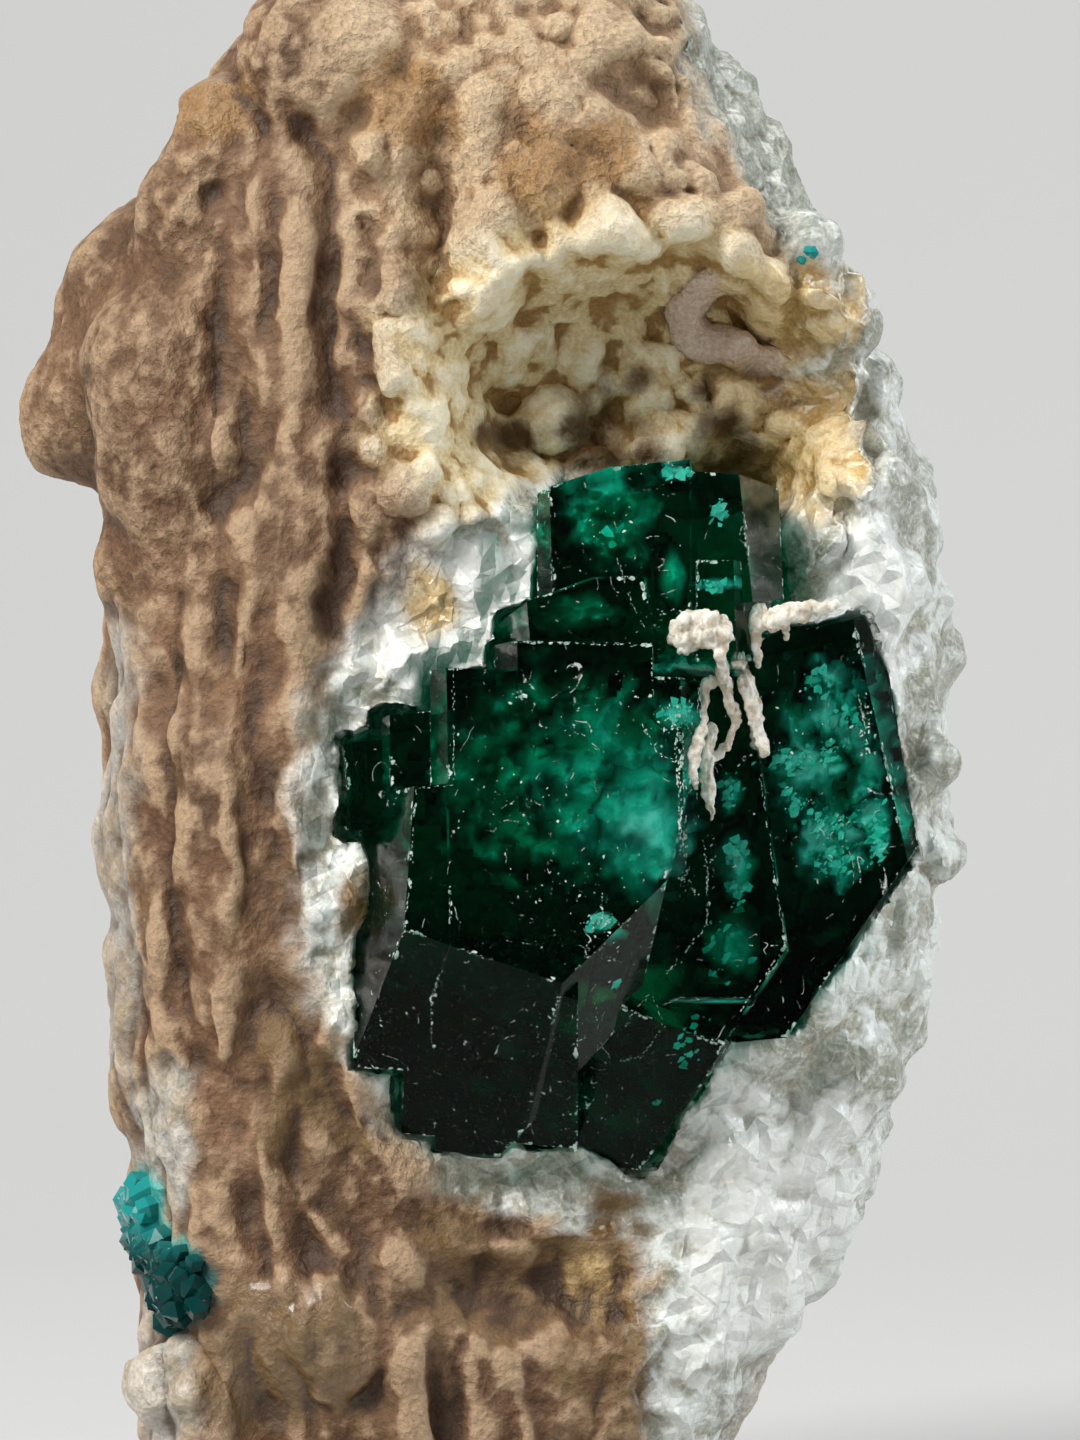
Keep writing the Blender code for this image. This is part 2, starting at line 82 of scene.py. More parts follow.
# Sections of the body: height, left edge, right edge, front depth and back depth
STATIONS = np.array((
    (0.0, -11.8, 6.8, 6.2, 9.2),
    (2.5, -12.6, 7.8, 7.0, 10.4),
    (6.0, -12.9, 9.4, 7.4, 11.2),
    (11.5, -12.9, 13.2, 8.0, 12.2),
    (17.0, -13.7, 15.0, 8.8, 12.8),
    (23.0, -13.9, 16.2, 9.4, 13.0),
    (28.5, -14.0, 16.6, 9.6, 13.0),
    (34.0, -14.0, 16.5, 9.6, 12.8),
    (38.0, -13.9, 15.8, 9.4, 12.4),
    (42.5, -13.4, 14.2, 9.2, 11.8),
    (46.5, -12.7, 12.3, 9.0, 11.0),
    (50.5, -11.6, 10.2, 8.8, 10.0),
    (54.0, -9.6, 8.6, 8.2, 9.0),
    (58.8, -9.0, 8.0, 7.4, 8.0),
))
# Hollows pushed into the front: centre X and Z, half width, half height, depth, edge softness
HOLLOWS = (
    (5.8, 40.8, 6.6, 4.7, 5.2, 0.35),
    (9.2, 36.6, 3.0, 2.6, 2.6, 0.5),
    (4.2, 26.0, 9.6, 12.6, 1.1, 0.5),
    (2.4, 14.6, 7.0, 4.0, 1.4, 0.7),
    (-1.7, 47.0, 0.9, 3.6, 1.3, 0.8),
    (5.4, 51.6, 1.1, 1.0, 1.2, 0.9),
    (1.6, 9.6, 3.6, 1.3, 1.2, 0.8),
)
# How far in front of the stone's middle the hollows reach their full depth
HOLLOW_FADE = 3.0
# Flat breaks of the quartz: outward direction and distance from the stone's middle
STONE_MIDDLE = Vector((0.0, 1.5, 29.0))
BREAKS = (
    ((0.80, -0.55, -0.25), 18.2),
    ((0.90, 0.43, 0.05), 15.4),
    ((0.25, 0.95, 0.10), 11.4),
    ((-0.62, 0.76, -0.15), 13.2),
    ((0.50, 0.66, -0.56), 20.0),
    ((0.50, 0.45, 0.74), 22.5),
)
# Knobs of the crust: X, Z, radius and how far each is raised from being sunk by half a radius
KNOBS = (
    (-13.5, 45.3, 3.4, 1.2), (-14.6, 40.9, 3.0, 1.7), (-12.4, 42.6, 3.6, 0.9),
    (-12.2, 38.6, 2.6, 0.8), (-13.5, 35.4, 1.6, 0.5), (-9.8, 50.6, 2.3, 0.5),
    (-11.4, 47.9, 2.6, 0.5), (-6.4, 53.4, 3.4, 0.6), (-2.9, 51.3, 1.7, -0.1),
    (1.8, 49.3, 1.9, -0.3), (4.1, 53.7, 1.5, 0.5), (4.6, 55.4, 1.2, 0.6),
    (-2.2, 34.0, 1.1, -0.1), (-3.2, 31.5, 1.5, 0.1), (-4.6, 37.2, 1.5, 0.0),
    (-3.6, 39.6, 1.4, 0.0), (-11.6, 5.6, 2.6, 0.2), (-10.4, 2.2, 2.2, 0.6),
    (-6.8, 7.8, 2.9, 0.3), (15.6, 28.4, 1.0, 0.6), (15.9, 24.9, 1.3, 0.7),
    (-4.4, 34.8, 1.1, 0.0), (-1.2, 44.2, 1.0, 0.0), (-13.4, 43.0, 3.0, 0.9),
    (11.3, 44.4, 1.2, 0.4), (12.3, 43.1, 1.0, 0.5), (12.4, 41.5, 1.0, 0.5),
    (12.3, 39.9, 1.0, 0.5), (10.6, 45.4, 0.9, 0.2), (12.0, 38.4, 1.2, 0.4),
)
# Lumps of the hollow's lining: X, Z and radius
VUG_LUMPS = (
    (4.7, 45.5, 1.6), (4.4, 43.9, 1.2), (3.2, 42.9, 1.2), (1.2, 42.6, 1.3), (-1.6, 40.9, 1.7),
    (2.2, 40.5, 1.4), (5.1, 42.1, 1.2), (8.6, 41.4, 1.1), (11.3, 40.5, 1.2), (10.7, 38.1, 1.6),
    (12.4, 39.0, 0.9), (8.9, 39.3, 0.9), (11.1, 36.1, 1.3), (9.6, 44.8, 1.2), (11.2, 43.6, 1.7),
    (10.9, 46.2, 1.3), (12.2, 44.9, 1.2), (12.6, 43.4, 1.0), (7.0, 39.5, 1.2),
    (0.3, 44.9, 1.2), (-0.4, 38.4, 1.2), (6.6, 46.9, 1.1),
    (-3.4, 42.6, 1.2), (-2.2, 38.6, 1.0), (2.6, 45.0, 1.1), (8.0, 47.2, 0.9), (5.9, 44.2, 0.8),
)
# Thickness of knobs and ridges outwards, as a share of their width
LUMP_SQUASH = 0.85
# Ridges that run down the crust: X, Z and radius along each
RIDGES = (
    ((-5.6, 56.0, 1.5), (-7.0, 52.5, 1.4), (-7.6, 48.5, 1.2), (-7.3, 45.0, 1.0), (-8.2, 41.0, 0.9)),
    ((-9.5, 50.0, 0.9), (-10.3, 45.0, 1.0), (-9.9, 40.0, 0.9), (-11.0, 34.5, 0.8)),
    ((-5.3, 47.0, 0.8), (-5.5, 41.0, 0.9), (-6.4, 36.0, 1.0), (-6.9, 31.0, 0.8), (-7.4, 26.0, 0.9)),
    ((-8.6, 37.0, 0.9), (-9.3, 31.0, 0.9), (-8.9, 25.0, 0.8), (-9.8, 18.0, 0.9)),
    ((-3.6, 46.0, 0.7), (-3.9, 42.0, 0.7), (-4.3, 38.5, 0.6)),
    ((-6.6, 29.0, 0.7), (-7.0, 23.5, 0.7), (-5.9, 18.5, 0.7), (-4.0, 14.5, 0.8), (-1.4, 11.6, 0.8),
     (2.0, 10.4, 0.6)),
    ((-11.8, 32.0, 0.8), (-11.4, 26.0, 0.9), (-12.0, 20.0, 0.8), (-11.0, 15.0, 0.7)),
    ((-8.4, 14.5, 0.7), (-5.4, 10.8, 0.7), (-2.8, 6.0, 0.8), (-1.6, 1.0, 0.8)),
    ((-3.6, 11.0, 0.6), (0.4, 7.0, 0.7), (2.0, 1.0, 0.7)),
)
# Worm-like crusts in the hollow's upper right: X, Z and radius along each
WORMS = (
    ((8.6, 45.0, 0.3), (7.5, 45.1, 0.42), (6.8, 44.2, 0.46), (7.4, 43.2, 0.5),
     (8.8, 42.7, 0.5), (10.0, 42.6, 0.4), (11.0, 42.0, 0.32)),
    ((10.1, 41.3, 0.3), (11.3, 41.7, 0.36), (12.3, 41.2, 0.3)),
)
# How far these crusts and the ridges stand off the smooth body, in radii of their balls, and
# the step from ball to ball
WORM_RISE = 3.0
RIDGE_RISE = 0.45
RIDGE_STEP = 0.35
# Rounds of blurring that melt the knobs into one another
MELT_PASSES = 90
# Start of everything random, and about how many triangles the finished stone has
SEED = 17
STONE_TRIANGLES = 190000
# Random shifts that keep the lumps from being round
WARP_SIZE = 2.2
WARP_REACH = 0.35
# Y of the pocket's floor under the crystals, and the way to the front
POCKET_DEPTH = -2.8
FRONTWARD = Vector((0.0, -1.0, 0.0))
# How far around the crystals the stone is painted dark as shade under them, and over what width
# that fades
ROOT_MARGIN = 0.1
ROOT_FADE = 0.35
# Margin below the crystals' lowest corner, and the box from there that is searched for them
SEARCH_MARGIN = 1.0
SEARCH_BOX = np.array((23.5, 13.5, 27.0))
# Z between which the painted shade on the stone under the crystals goes from black to a painted
# green glow
ROOT_GLOW = (SHIFT.z / MM + 21.0, SHIFT.z / MM + 28.0)
# Small lumps of the hollow and of the dome: how many there are, and their radii
SMALL_LUMPS = 230
DOME_LUMPS = 150
SMALL_LUMP_RANGE = (0.5, 1.25)
DOME_LUMP_RANGE = (0.22, 0.6)
LUMP_TRIES = 20000
# The hollow's lumps lie in an oval of these spans, but not in a circle around the crystals
LUMP_SPAN_X = (-6.0, 13.0)
LUMP_SPAN_Z = (33.0, 50.0)
LUMP_OVAL = (4.5, 41.5, 9.5, 7.5)
CRYSTAL_GAP = (4.0, 30.0, 8.0)
# The dome's lumps lie thickest at an X and Z, spread by so much to each side
DOME_LUMP_X = (1.2, 3.0)
DOME_LUMP_Z = (51.5, 3.4)
# Stretch of what runs down the crust, and the turn of the quartz's breaks
DOWNWARD = (1.0, 1.0, 0.16)
BREAK_TURN = (0.6, 0.4, 0.9)

# Z and X along the line where the tan crust gives way to bare quartz on the right, and
# along the left edge of the quartz around the crystals
RIM_EDGE = np.array((
    (0.0, 5.6), (8.0, 5.6), (11.0, 5.3), (14.5, 4.0), (20.0, 6.0), (30.0, 10.0), (34.6, 10.5),
    (36.4, 10.9), (37.5, 11.8), (38.5, 12.6), (39.9, 12.2), (41.7, 12.7), (44.1, 12.3),
    (45.5, 10.4), (47.6, 9.7), (49.0, 8.5), (51.5, 7.3), (55.0, 6.9), (58.8, 5.5),
))
BASIN_EDGE = np.array((
    (10.9, 9.0), (11.6, 2.5), (13.3, -1.8), (15.0, -3.2), (18.0, -5.2), (20.0, -6.2),
    (24.0, -6.7), (28.0, -6.6), (31.0, -6.3), (32.6, -5.2), (34.0, -3.2), (36.4, -1.8),
    (37.9, 0.6), (38.8, 4.0),
))
# Height span of the quartz around the crystals, and of the melted knobs at the left
BASIN_SPAN = (11.0, 38.6)
KNOB_SPAN = (33.0, 53.0)
# Oval of the hollow's cream lining, and patches of each kind: X, Z, half width and half height
HOLLOW_OVAL = (4.5, 41.0, 8.4, 6.6)
AMBER = (
    (-2.9, 51.3, 1.6, 1.6), (1.8, 49.3, 1.5, 1.7), (4.1, 49.6, 0.8, 1.3), (-2.2, 34.0, 0.9, 1.2),
    (8.6, 41.4, 1.0, 1.0), (11.3, 40.7, 1.8, 1.5), (10.7, 38.1, 1.9, 1.6), (12.4, 39.0, 0.8, 0.9),
    (11.2, 44.3, 2.2, 1.8), (-9.8, 51.4, 1.6, 1.2), (9.0, 45.2, 1.1, 0.9), (3.3, 9.9, 1.5, 1.2),
)
# Rusty patches; the two in the hollow, about X 5.6, Z 40.0 and X 9.6, Z 35.8, are a painted shadow
# in rust colours
RUST_AND_SHADOW = (
    (1.0, 9.0, 3.4, 1.2), (4.0, 7.0, 1.6, 3.6), (-6.9, 7.0, 3.2, 2.6), (-4.6, 22.0, 0.8, 3.0),
    (5.6, 40.0, 3.6, 2.0), (9.6, 35.8, 1.6, 1.8), (-6.9, 8.0, 2.6, 2.0), (-7.2, 17.0, 1.6, 2.6),
    (1.8, 11.9, 3.8, 1.6), (0.6, 39.6, 1.2, 0.8), (-5.0, 14.0, 1.0, 1.6),
)
GLOSSY = ((-6.9, 7.6, 2.6, 2.4), (-10.4, 4.0, 1.4, 1.8))
PALE = ((-11.8, 15.0, 1.2, 3.2), (-12.0, 5.2, 1.7, 3.2), (-1.2, 34.6, 2.4, 2.6))
# Where the quartz is milky white instead of grey, and also painted brighter as painted light
SNOW_AND_PAINTED_LIGHT = ((-1.4, 33.6, 3.0, 2.8), (10.0, 12.0, 3.6, 4.6), (13.0, 33.0, 1.6, 4.0))
# Further colours of the stone, beside those of its settings
TONES = {
    "warm_tan": (0.26, 0.145, 0.078),
    "dull_share": (0.62, 0.55, 0.46),
    # Druse, cream and quartz colours for crests and creases: pale crests and dark creases are
    # partly painted highlight and painted shade
    "druse_low": (0.38, 0.245, 0.135),
    "druse_crest": (0.64, 0.50, 0.34),
    "tan_share": (0.88, 0.83, 0.76),
    "worm": (0.70, 0.54, 0.43),
    "old_cream": (0.62, 0.46, 0.22),
    "cream_crest": (0.88, 0.79, 0.58),
    "cream_crease": (0.40, 0.23, 0.07),
    "vein": (0.86, 0.87, 0.84),
    "quartz_crease": (0.42, 0.41, 0.33),
    # Share that dims the quartz towards the top, as painted shade
    "high_quartz_share": (0.50, 0.50, 0.45),
    # Milky white, partly painted light that lifts the shade beside the crystals
    "snow": (0.92, 0.93, 0.89),
    "pale_amber": (0.86, 0.66, 0.36),
    "dome_amber": (0.33, 0.185, 0.07),
    # Darkest rust colour of the hollow, used there as a painted shadow
    "hollow_rust_and_shadow": (0.10, 0.05, 0.012),
    # Teal on the stone around the small crystals, painted dark below and lit above
    "teal_low": (0.006, 0.09, 0.085),
    "teal_high": (0.07, 0.42, 0.38),
    # Earth of low places and creases, which is partly painted shade there
    "earth_and_shade": (0.05, 0.022, 0.007),
    "cream_earth_and_shade": (0.20, 0.11, 0.03),
    "speckle": (0.2, 0.17, 0.15),
    # Painted shade under the crystals, and higher up a painted green glow as of light through them
    "root": (0.003, 0.008, 0.006),
    "painted_glow_under_crystals": (0.09, 0.36, 0.26),
}

# Marks on the crystals in the front view: width, then X and Z along the line
SCRATCHES = (
    (0.05, (-2.2, 31.5), (-0.2, 31.5), (0.7, 32.4), (3.0, 32.4), (5.6, 32.3)),
    (0.03, (-1.3, 31.4), (-1.3, 27.6)),
    (0.03, (-2.6, 27.4), (-1.3, 27.5)),
    (0.04, (-2.6, 27.3), (-2.8, 24.0), (-3.0, 22.8)),
    (0.05, (7.2, 31.2), (7.0, 28.0), (7.5, 24.6), (7.5, 22.6), (4.9, 19.5), (4.6, 19.0)),
    (0.05, (7.5, 24.6), (7.5, 22.8)),
    (0.04, (3.6, 20.0), (3.7, 18.7), (4.2, 17.8), (5.2, 18.0), (6.0, 19.1), (5.6, 20.2)),
    (0.04, (5.2, 29.6), (5.7, 28.6), (6.4, 28.3)),
    (0.03, (2.2, 29.2), (3.1, 29.3), (3.9, 28.6)),
    (0.03, (0.1, 26.5), (0.8, 27.0)),
    (0.03, (-1.3, 23.3), (-1.0, 22.6)),
    (0.04, (0.5, 25.4), (0.5, 24.7)),
    (0.04, (9.3, 28.1), (10.2, 21.9)),
    (0.05, (9.0, 21.9), (10.2, 21.9), (8.9, 20.0), (8.2, 18.6), (7.8, 17.5)),
    (0.04, (5.9, 20.0), (8.8, 20.1)),
    (0.03, (0.2, 15.0), (2.3, 14.4), (5.7, 14.0)),
    (0.05, (12.8, 30.6), (13.2, 28.4)),
    (0.03, (13.9, 28.2), (14.8, 25.0)),
    (0.03, (5.4, 36.1), (6.0, 36.1)),
    (0.03, (5.9, 37.6), (6.4, 37.5)),
    (0.03, (4.4, 35.3), (4.8, 33.9), (5.3, 32.9)),
    (0.02, (3.0, 22.0), (4.4, 21.4), (5.4, 21.2)),
    (0.03, (3.6, 23.0), (4.9, 22.6)),
)
# A chipped band along the main crystal's right edge: X, Z of its ends and half width
CHIP_BAND = ((6.45, 29.3), (6.75, 24.2), 0.16)
# Scattered specks: X, Z, half width, half height and count
CHIP_CLOUDS = (
    (6.4, 29.8, 0.55, 0.7, 70), (3.8, 22.8, 0.5, 0.45, 60), (13.0, 29.6, 0.35, 1.1, 60),
    (6.8, 24.0, 0.4, 0.5, 30), (7.7, 25.0, 0.15, 1.2, 24), (6.0, 33.4, 0.8, 0.6, 22),
    (-3.6, 24.0, 0.5, 2.0, 16), (-4.0, 19.5, 1.4, 0.7, 30), (1.5, 18.9, 2.0, 0.6, 26),
    (0.8, 27.0, 2.6, 3.4, 60), (4.0, 30.0, 2.4, 1.6, 50), (3.4, 23.5, 3.0, 3.0, 90),
    (10.9, 28.0, 2.6, 4.0, 70), (4.4, 36.0, 2.0, 2.2, 40), (2.6, 15.9, 3.0, 1.0, 40),
)
# Milky sheets inside: X, Z, half width, half height, depth at the middle, fall to the edge,
# and how far they wave
VEILS = (
    (5.2, 26.0, 2.2, 2.9, 0.3, 3.6, 1.0), (4.2, 27.4, 3.6, 4.0, 1.9, 3.0, 2.0),
    (2.2, 28.0, 5.0, 4.6, 4.8, 1.6, 2.6), (6.3, 29.9, 0.8, 0.8, 0.4, 4.0, 0.6),
    (3.8, 22.7, 0.5, 0.4, 0.3, 1.5, 0.3), (8.3, 27.2, 0.7, 1.1, 0.6, 3.5, 0.8),
    (8.5, 24.8, 0.9, 1.6, 0.6, 4.0, 1.0), (8.2, 21.9, 1.2, 1.5, 1.8, 4.5, 0.8),
    (7.6, 19.95, 1.6, 0.13, 0.3, 1.2, 0.3), (11.6, 28.2, 2.6, 4.4, 1.0, 2.6, 2.6),
    (11.8, 25.5, 1.7, 1.9, 0.2, 3.0, 2.0), (11.0, 28.2, 1.8, 1.0, 0.1, 3.0, 1.4),
    (11.7, 30.5, 1.1, 1.5, 0.2, 3.0, 2.0), (13.2, 26.0, 0.9, 1.4, 0.3, 3.0, 1.8),
    (7.7, 34.4, 0.8, 0.3, 0.3, 1.4, 0.3), (6.5, 38.3, 0.7, 0.3, 0.4, 1.5, 0.3),
    (4.2, 36.6, 2.2, 2.2, 3.6, 2.4, 2.0), (6.4, 34.6, 0.6, 1.3, 2.4, 4.0, 0.8),
    (3.0, 33.4, 2.0, 0.9, 4.2, 2.0, 1.6), (-5.4, 27.4, 0.6, 0.6, 1.6, 1.5, 0.4),
)
# Swarms of bright flakes inside: X, Z, half width, half height, least and greatest depth, count
SWARMS = (
    (11.4, 31.0, 0.5, 0.6, 0.2, 1.6, 50), (12.3, 29.6, 0.6, 0.6, 0.2, 1.6, 50),
    (10.6, 28.3, 1.0, 0.35, 0.1, 1.2, 90), (11.4, 28.5, 0.7, 0.4, 0.1, 1.2, 50),
    (10.6, 26.9, 0.5, 0.5, 0.2, 1.6, 30), (11.7, 25.9, 0.8, 0.8, 0.1, 1.4, 120),
    (12.0, 24.8, 0.7, 0.5, 0.1, 1.2, 60), (13.3, 26.4, 0.5, 0.7, 0.2, 1.6, 60),
    (13.4, 25.2, 0.4, 0.4, 0.2, 1.4, 30),
    (8.3, 27.3, 0.3, 0.6, 0.2, 1.2, 40), (8.5, 25.2, 0.4, 0.5, 0.1, 1.2, 60),
    (8.6, 23.9, 0.4, 0.5, 0.2, 1.2, 40), (8.1, 21.8, 0.8, 1.1, 0.8, 3.4, 40),
    (7.9, 37.0, 0.25, 0.4, 0.1, 0.8, 40),
    (6.4, 38.3, 0.5, 0.2, 0.2, 0.8, 30), (7.7, 34.4, 0.5, 0.15, 0.2, 0.7, 30),
    (6.4, 29.9, 0.4, 0.4, 0.1, 1.0, 50), (5.0, 25.6, 1.0, 1.6, 0.6, 2.0, 24),
    # The swarms at X 4.3, Z 20.6 and X 5.8, Z 16.4 are painted glints: bright flakes where only a
    # glint shines
    (3.8, 22.8, 0.5, 0.3, 0.05, 0.7, 40), (4.3, 20.6, 0.1, 0.1, 0.1, 0.4, 10),
    (5.8, 16.4, 0.1, 0.1, 0.1, 0.4, 8), (6.9, 18.6, 0.6, 1.0, 0.6, 2.4, 20),
    (4.2, 36.4, 1.0, 1.2, 2.0, 4.0, 12),
)
# Steps across each sheet
VEIL_STEPS = 36
# How far marks lie off the crystals' faces, and the Y behind which no veil goes
MARK_LIFT = 0.012
BACK_OF_VEILS = -4.0
# Steps between the flakes of a scratch and between the chips of an edge, and the band's chips
SCRATCH_STEP = 0.11
SCRATCH_SPREAD = 0.025
CHIP_STEP = 0.08
BAND_CHIPS = 150
# A copy of the crystals: points nearer than this are one, and faces flatter than this are one
MERGE_DISTANCE = 0.002
FLAT_ANGLE = math.radians(0.6)
EDGE_ANGLE = math.radians(12.0)

# Cream crusts over the groove between two crystals: X, Z and radius along each strand
CRUST = (
    ((6.3, 32.85, 0.2), (6.9, 33.15, 0.34), (7.6, 33.15, 0.36), (8.1, 32.95, 0.28)),
    ((6.3, 32.5, 0.26), (7.0, 32.7, 0.3), (7.7, 32.8, 0.32), (8.15, 32.5, 0.26)),
    ((6.5, 32.15, 0.14), (7.5, 32.42, 0.18), (8.2, 32.3, 0.16)),
    ((7.84, 32.4, 0.2), (8.05, 31.3, 0.19), (8.33, 30.3, 0.2), (8.58, 29.75, 0.17)),
    ((8.5, 31.95, 0.2), (8.89, 30.7, 0.2), (9.2, 29.6, 0.22), (9.42, 28.6, 0.25)),
    ((8.72, 31.9, 0.13), (9.12, 30.8, 0.15), (9.35, 29.6, 0.16)),
    ((7.9, 31.1, 0.15), (7.42, 31.05, 0.18), (7.3, 30.2, 0.17), (7.26, 29.4, 0.22),
     (7.0, 28.8, 0.24), (6.92, 27.9, 0.18), (7.1, 27.4, 0.1)),
    ((7.6, 29.5, 0.2), (7.45, 28.5, 0.24), (7.55, 27.3, 0.2), (7.68, 26.3, 0.09)),
    ((8.58, 29.75, 0.14), (8.2, 28.9, 0.14), (7.75, 28.45, 0.17)),
)
CORNER_CRUST = (
    ((9.25, 31.7, 0.13), (9.14, 32.5, 0.2), (9.15, 33.2, 0.3), (9.35, 33.7, 0.26)),
    ((9.3, 33.1, 0.3), (9.8, 33.25, 0.34), (10.4, 33.45, 0.34), (11.2, 33.6, 0.26),
     (12.0, 33.75, 0.18)),
    ((10.2, 33.0, 0.12), (10.25, 32.6, 0.08)),
)
# Growth of the strands' radii, the distance between their balls and the grain of their skin
CRUST_GROWTH = 1.15
CRUST_STEP = 0.03
CRUST_VOXEL = 0.05

# Patches where the small crystals grow: X, Z, half width and half height
SIDE_PATCHES = (
    (-12.45, 12.3, 0.35, 0.9), (-12.0, 11.0, 0.45, 0.5), (-11.0, 9.8, 0.75, 0.9),
    (-11.3, 8.9, 0.4, 0.5),
)
SPECK = ((11.3, 46.1, 0.2, 0.2),)
# Greatest lean of the small crystals, in radians, and the heights between which their painted
# light takes them from dark to bright
LEAN = 0.5
BRIGHT_SPAN = (10.4, 12.4)

# Floor and backdrop, in metres
BACKDROP_FRONT = -0.9
BACKDROP_BACK = 0.42
BACKDROP_BEND = 0.28
BACKDROP_TOP = 0.9
BACKDROP_HALF_WIDTH = 1.2
BEND_STEPS = 12


class StoneSettings(bpy.types.PropertyGroup):
    """Sizes and colours of the matrix stone."""

    voxel: FloatProperty(name="Grain of the mesh", description="Edge of the stone's even skin",
                         default=0.2, min=0.15)
    lump_size: FloatProperty(name="Lump size", description="Width of the small lumps",
                             default=1.5)
    lump_height: FloatProperty(name="Lump height", description="Height of the small lumps",
                               default=0.42)
    ridge_size: FloatProperty(name="Ridge spacing", description="Distance between flow ridges",
                              default=3.0)
    ridge_height: FloatProperty(name="Ridge height", description="Height of the flow ridges",
                                default=0.8)
    facet_size: FloatProperty(name="Break size", description="Width of the quartz's broken faces",
                              default=3.2)
    facet_height: FloatProperty(name="Break height", description="Tilt of the broken faces",
                                default=0.8)
    # Paler tan on the crust's ridges, partly a painted highlight
    crest: FloatVectorProperty(name="Crest", description="Tan crust on its ridges",
                               subtype="COLOR", default=(0.46, 0.33, 0.215))
    tan: FloatVectorProperty(name="Tan crust", description="Tan crust between its ridges",
                             subtype="COLOR", default=(0.19, 0.11, 0.054))
    cream: FloatVectorProperty(name="Cream lumps", description="Lumps of the hollow",
                               subtype="COLOR", default=(0.74, 0.60, 0.35))
    amber: FloatVectorProperty(name="Amber", description="Amber patches",
                               subtype="COLOR", default=(0.55, 0.36, 0.13))
    # Rust, also used for the painted shadow right of the upper crystal
    rust: FloatVectorProperty(name="Rust", description="Rusty hollows",
                              subtype="COLOR", default=(0.17, 0.10, 0.035))
    quartz: FloatVectorProperty(name="Quartz", description="Bare quartz",
                                subtype="COLOR", default=(0.82, 0.86, 0.82))
    smoke: FloatVectorProperty(name="Grey quartz", description="Grey parts of the quartz",
                               subtype="COLOR", default=(0.38, 0.39, 0.32))


class CrystalSettings(bpy.types.PropertyGroup):
    """Finish of the green crystals."""

    bevel: FloatProperty(name="Edge wear", description="Width of the worn edges in millimetres",
                         default=0.05)
    tint: FloatVectorProperty(name="Tint", description="Colour that the crystal lets through",
                              subtype="COLOR", default=(0.0, 0.85, 0.76))
    density: FloatProperty(name="Density", description="Absorption to a metre", default=720.0)
    shine: FloatProperty(name="Shine", description="Strength of the mirror-like part",
                         default=0.12)
    ior: FloatProperty(name="Index", description="Index of refraction", default=1.67)


class StudioSettings(bpy.types.PropertyGroup):
    """Floor, lights and camera."""

    lens: FloatProperty(name="Lens", description="Focal length of the camera",
                        subtype="DISTANCE_CAMERA", default=180.0)
    floor: FloatVectorProperty(name="Floor", description="Colour of floor and backdrop",
                               subtype="COLOR", default=(0.46, 0.46, 0.455))
    key: FloatProperty(name="Key light", description="Power of the main light",
                       subtype="POWER", default=3.5)
    world: FloatProperty(name="World", description="Strength of the even light", default=0.16)


def add_node(tree, kind, inputs=None, **settings):
    """Add a node, set its settings, and set or link its inputs."""
    made = tree.nodes.new(kind)
    for key, value in settings.items():
        setattr(made, key, value)
    for key, value in (inputs or {}).items():
        if isinstance(value, bpy.types.NodeSocket):
            tree.links.new(value, made.inputs[key])
        else:
            made.inputs[key].default_value = value
    return made


def maths(tree, operation, *values, clamp=False):
    made = add_node(tree, "ShaderNodeMath", dict(enumerate(values)), operation=operation)
    made.use_clamp = clamp
    return made.outputs[0]


def times(tree, first, second):
    return maths(tree, "MULTIPLY", first, second)


def plus(tree, first, second, clamp=False):
    return maths(tree, "ADD", first, second, clamp=clamp)


def minus(tree, first, second, clamp=False):
    return maths(tree, "SUBTRACT", first, second, clamp=clamp)


def larger(tree, first, second):
    return maths(tree, "MAXIMUM", first, second)


def vectors(tree, operation, *values, scale=None):
    """Work on vectors, and scale them by a number if one is given."""
    inputs = dict(enumerate(values))
    if scale is not None:
        inputs["Scale"] = scale
    made = add_node(tree, "ShaderNodeVectorMath", inputs, operation=operation)
    return made.outputs["Value" if operation == "DOT_PRODUCT" else "Vector"]


def mix_colour(tree, factor, first, second, blend="MIX"):
    """Blend two colours, each a socket or an RGB triple."""
    first, second = (c if isinstance(c, bpy.types.NodeSocket) else (*c, 1.0)
                     for c in (first, second))
    made = add_node(tree, "ShaderNodeMix", {0: factor, 6: first, 7: second},
                    data_type="RGBA", blend_type=blend)
    return made.outputs[2]


def dimmed(tree, colour, share):
    """A colour of which each part is taken times its share."""
    return mix_colour(tree, 1.0, colour, share, "MULTIPLY")


def mix_value(tree, factor, first, second):
    return add_node(tree, "ShaderNodeMix", {0: factor, 2: first, 3: second}).outputs[0]


def ramp(tree, value, low, high):
    """Take a value's span from low to high to the span from 0 to 1, smoothly."""
    made = add_node(tree, "ShaderNodeMapRange", {"Value": value, "From Min": low, "From Max": high},
                    interpolation_type="SMOOTHSTEP")
    return made.outputs[0]


def attribute(tree, name):
    return add_node(tree, "ShaderNodeAttribute", attribute_name=name).outputs["Fac"]


def noise_texture(tree, place, size, detail=4.0, roughness=0.55, distortion=0.0):
    """Noise whose features are about size millimetres wide."""
    return add_node(tree, "ShaderNodeTexNoise",
                    {"Vector": place, "Scale": 1.0 / size, "Detail": detail,
                     "Roughness": roughness, "Distortion": distortion}).outputs["Fac"]


def voronoi_texture(tree, place, scale, distance="EUCLIDEAN"):
    return add_node(tree, "ShaderNodeTexVoronoi", {"Vector": place, "Scale": scale},
                    distance=distance).outputs["Distance"]


def height_of(tree, place):
    return add_node(tree, "ShaderNodeSeparateXYZ", {"Vector": place}).outputs["Z"]


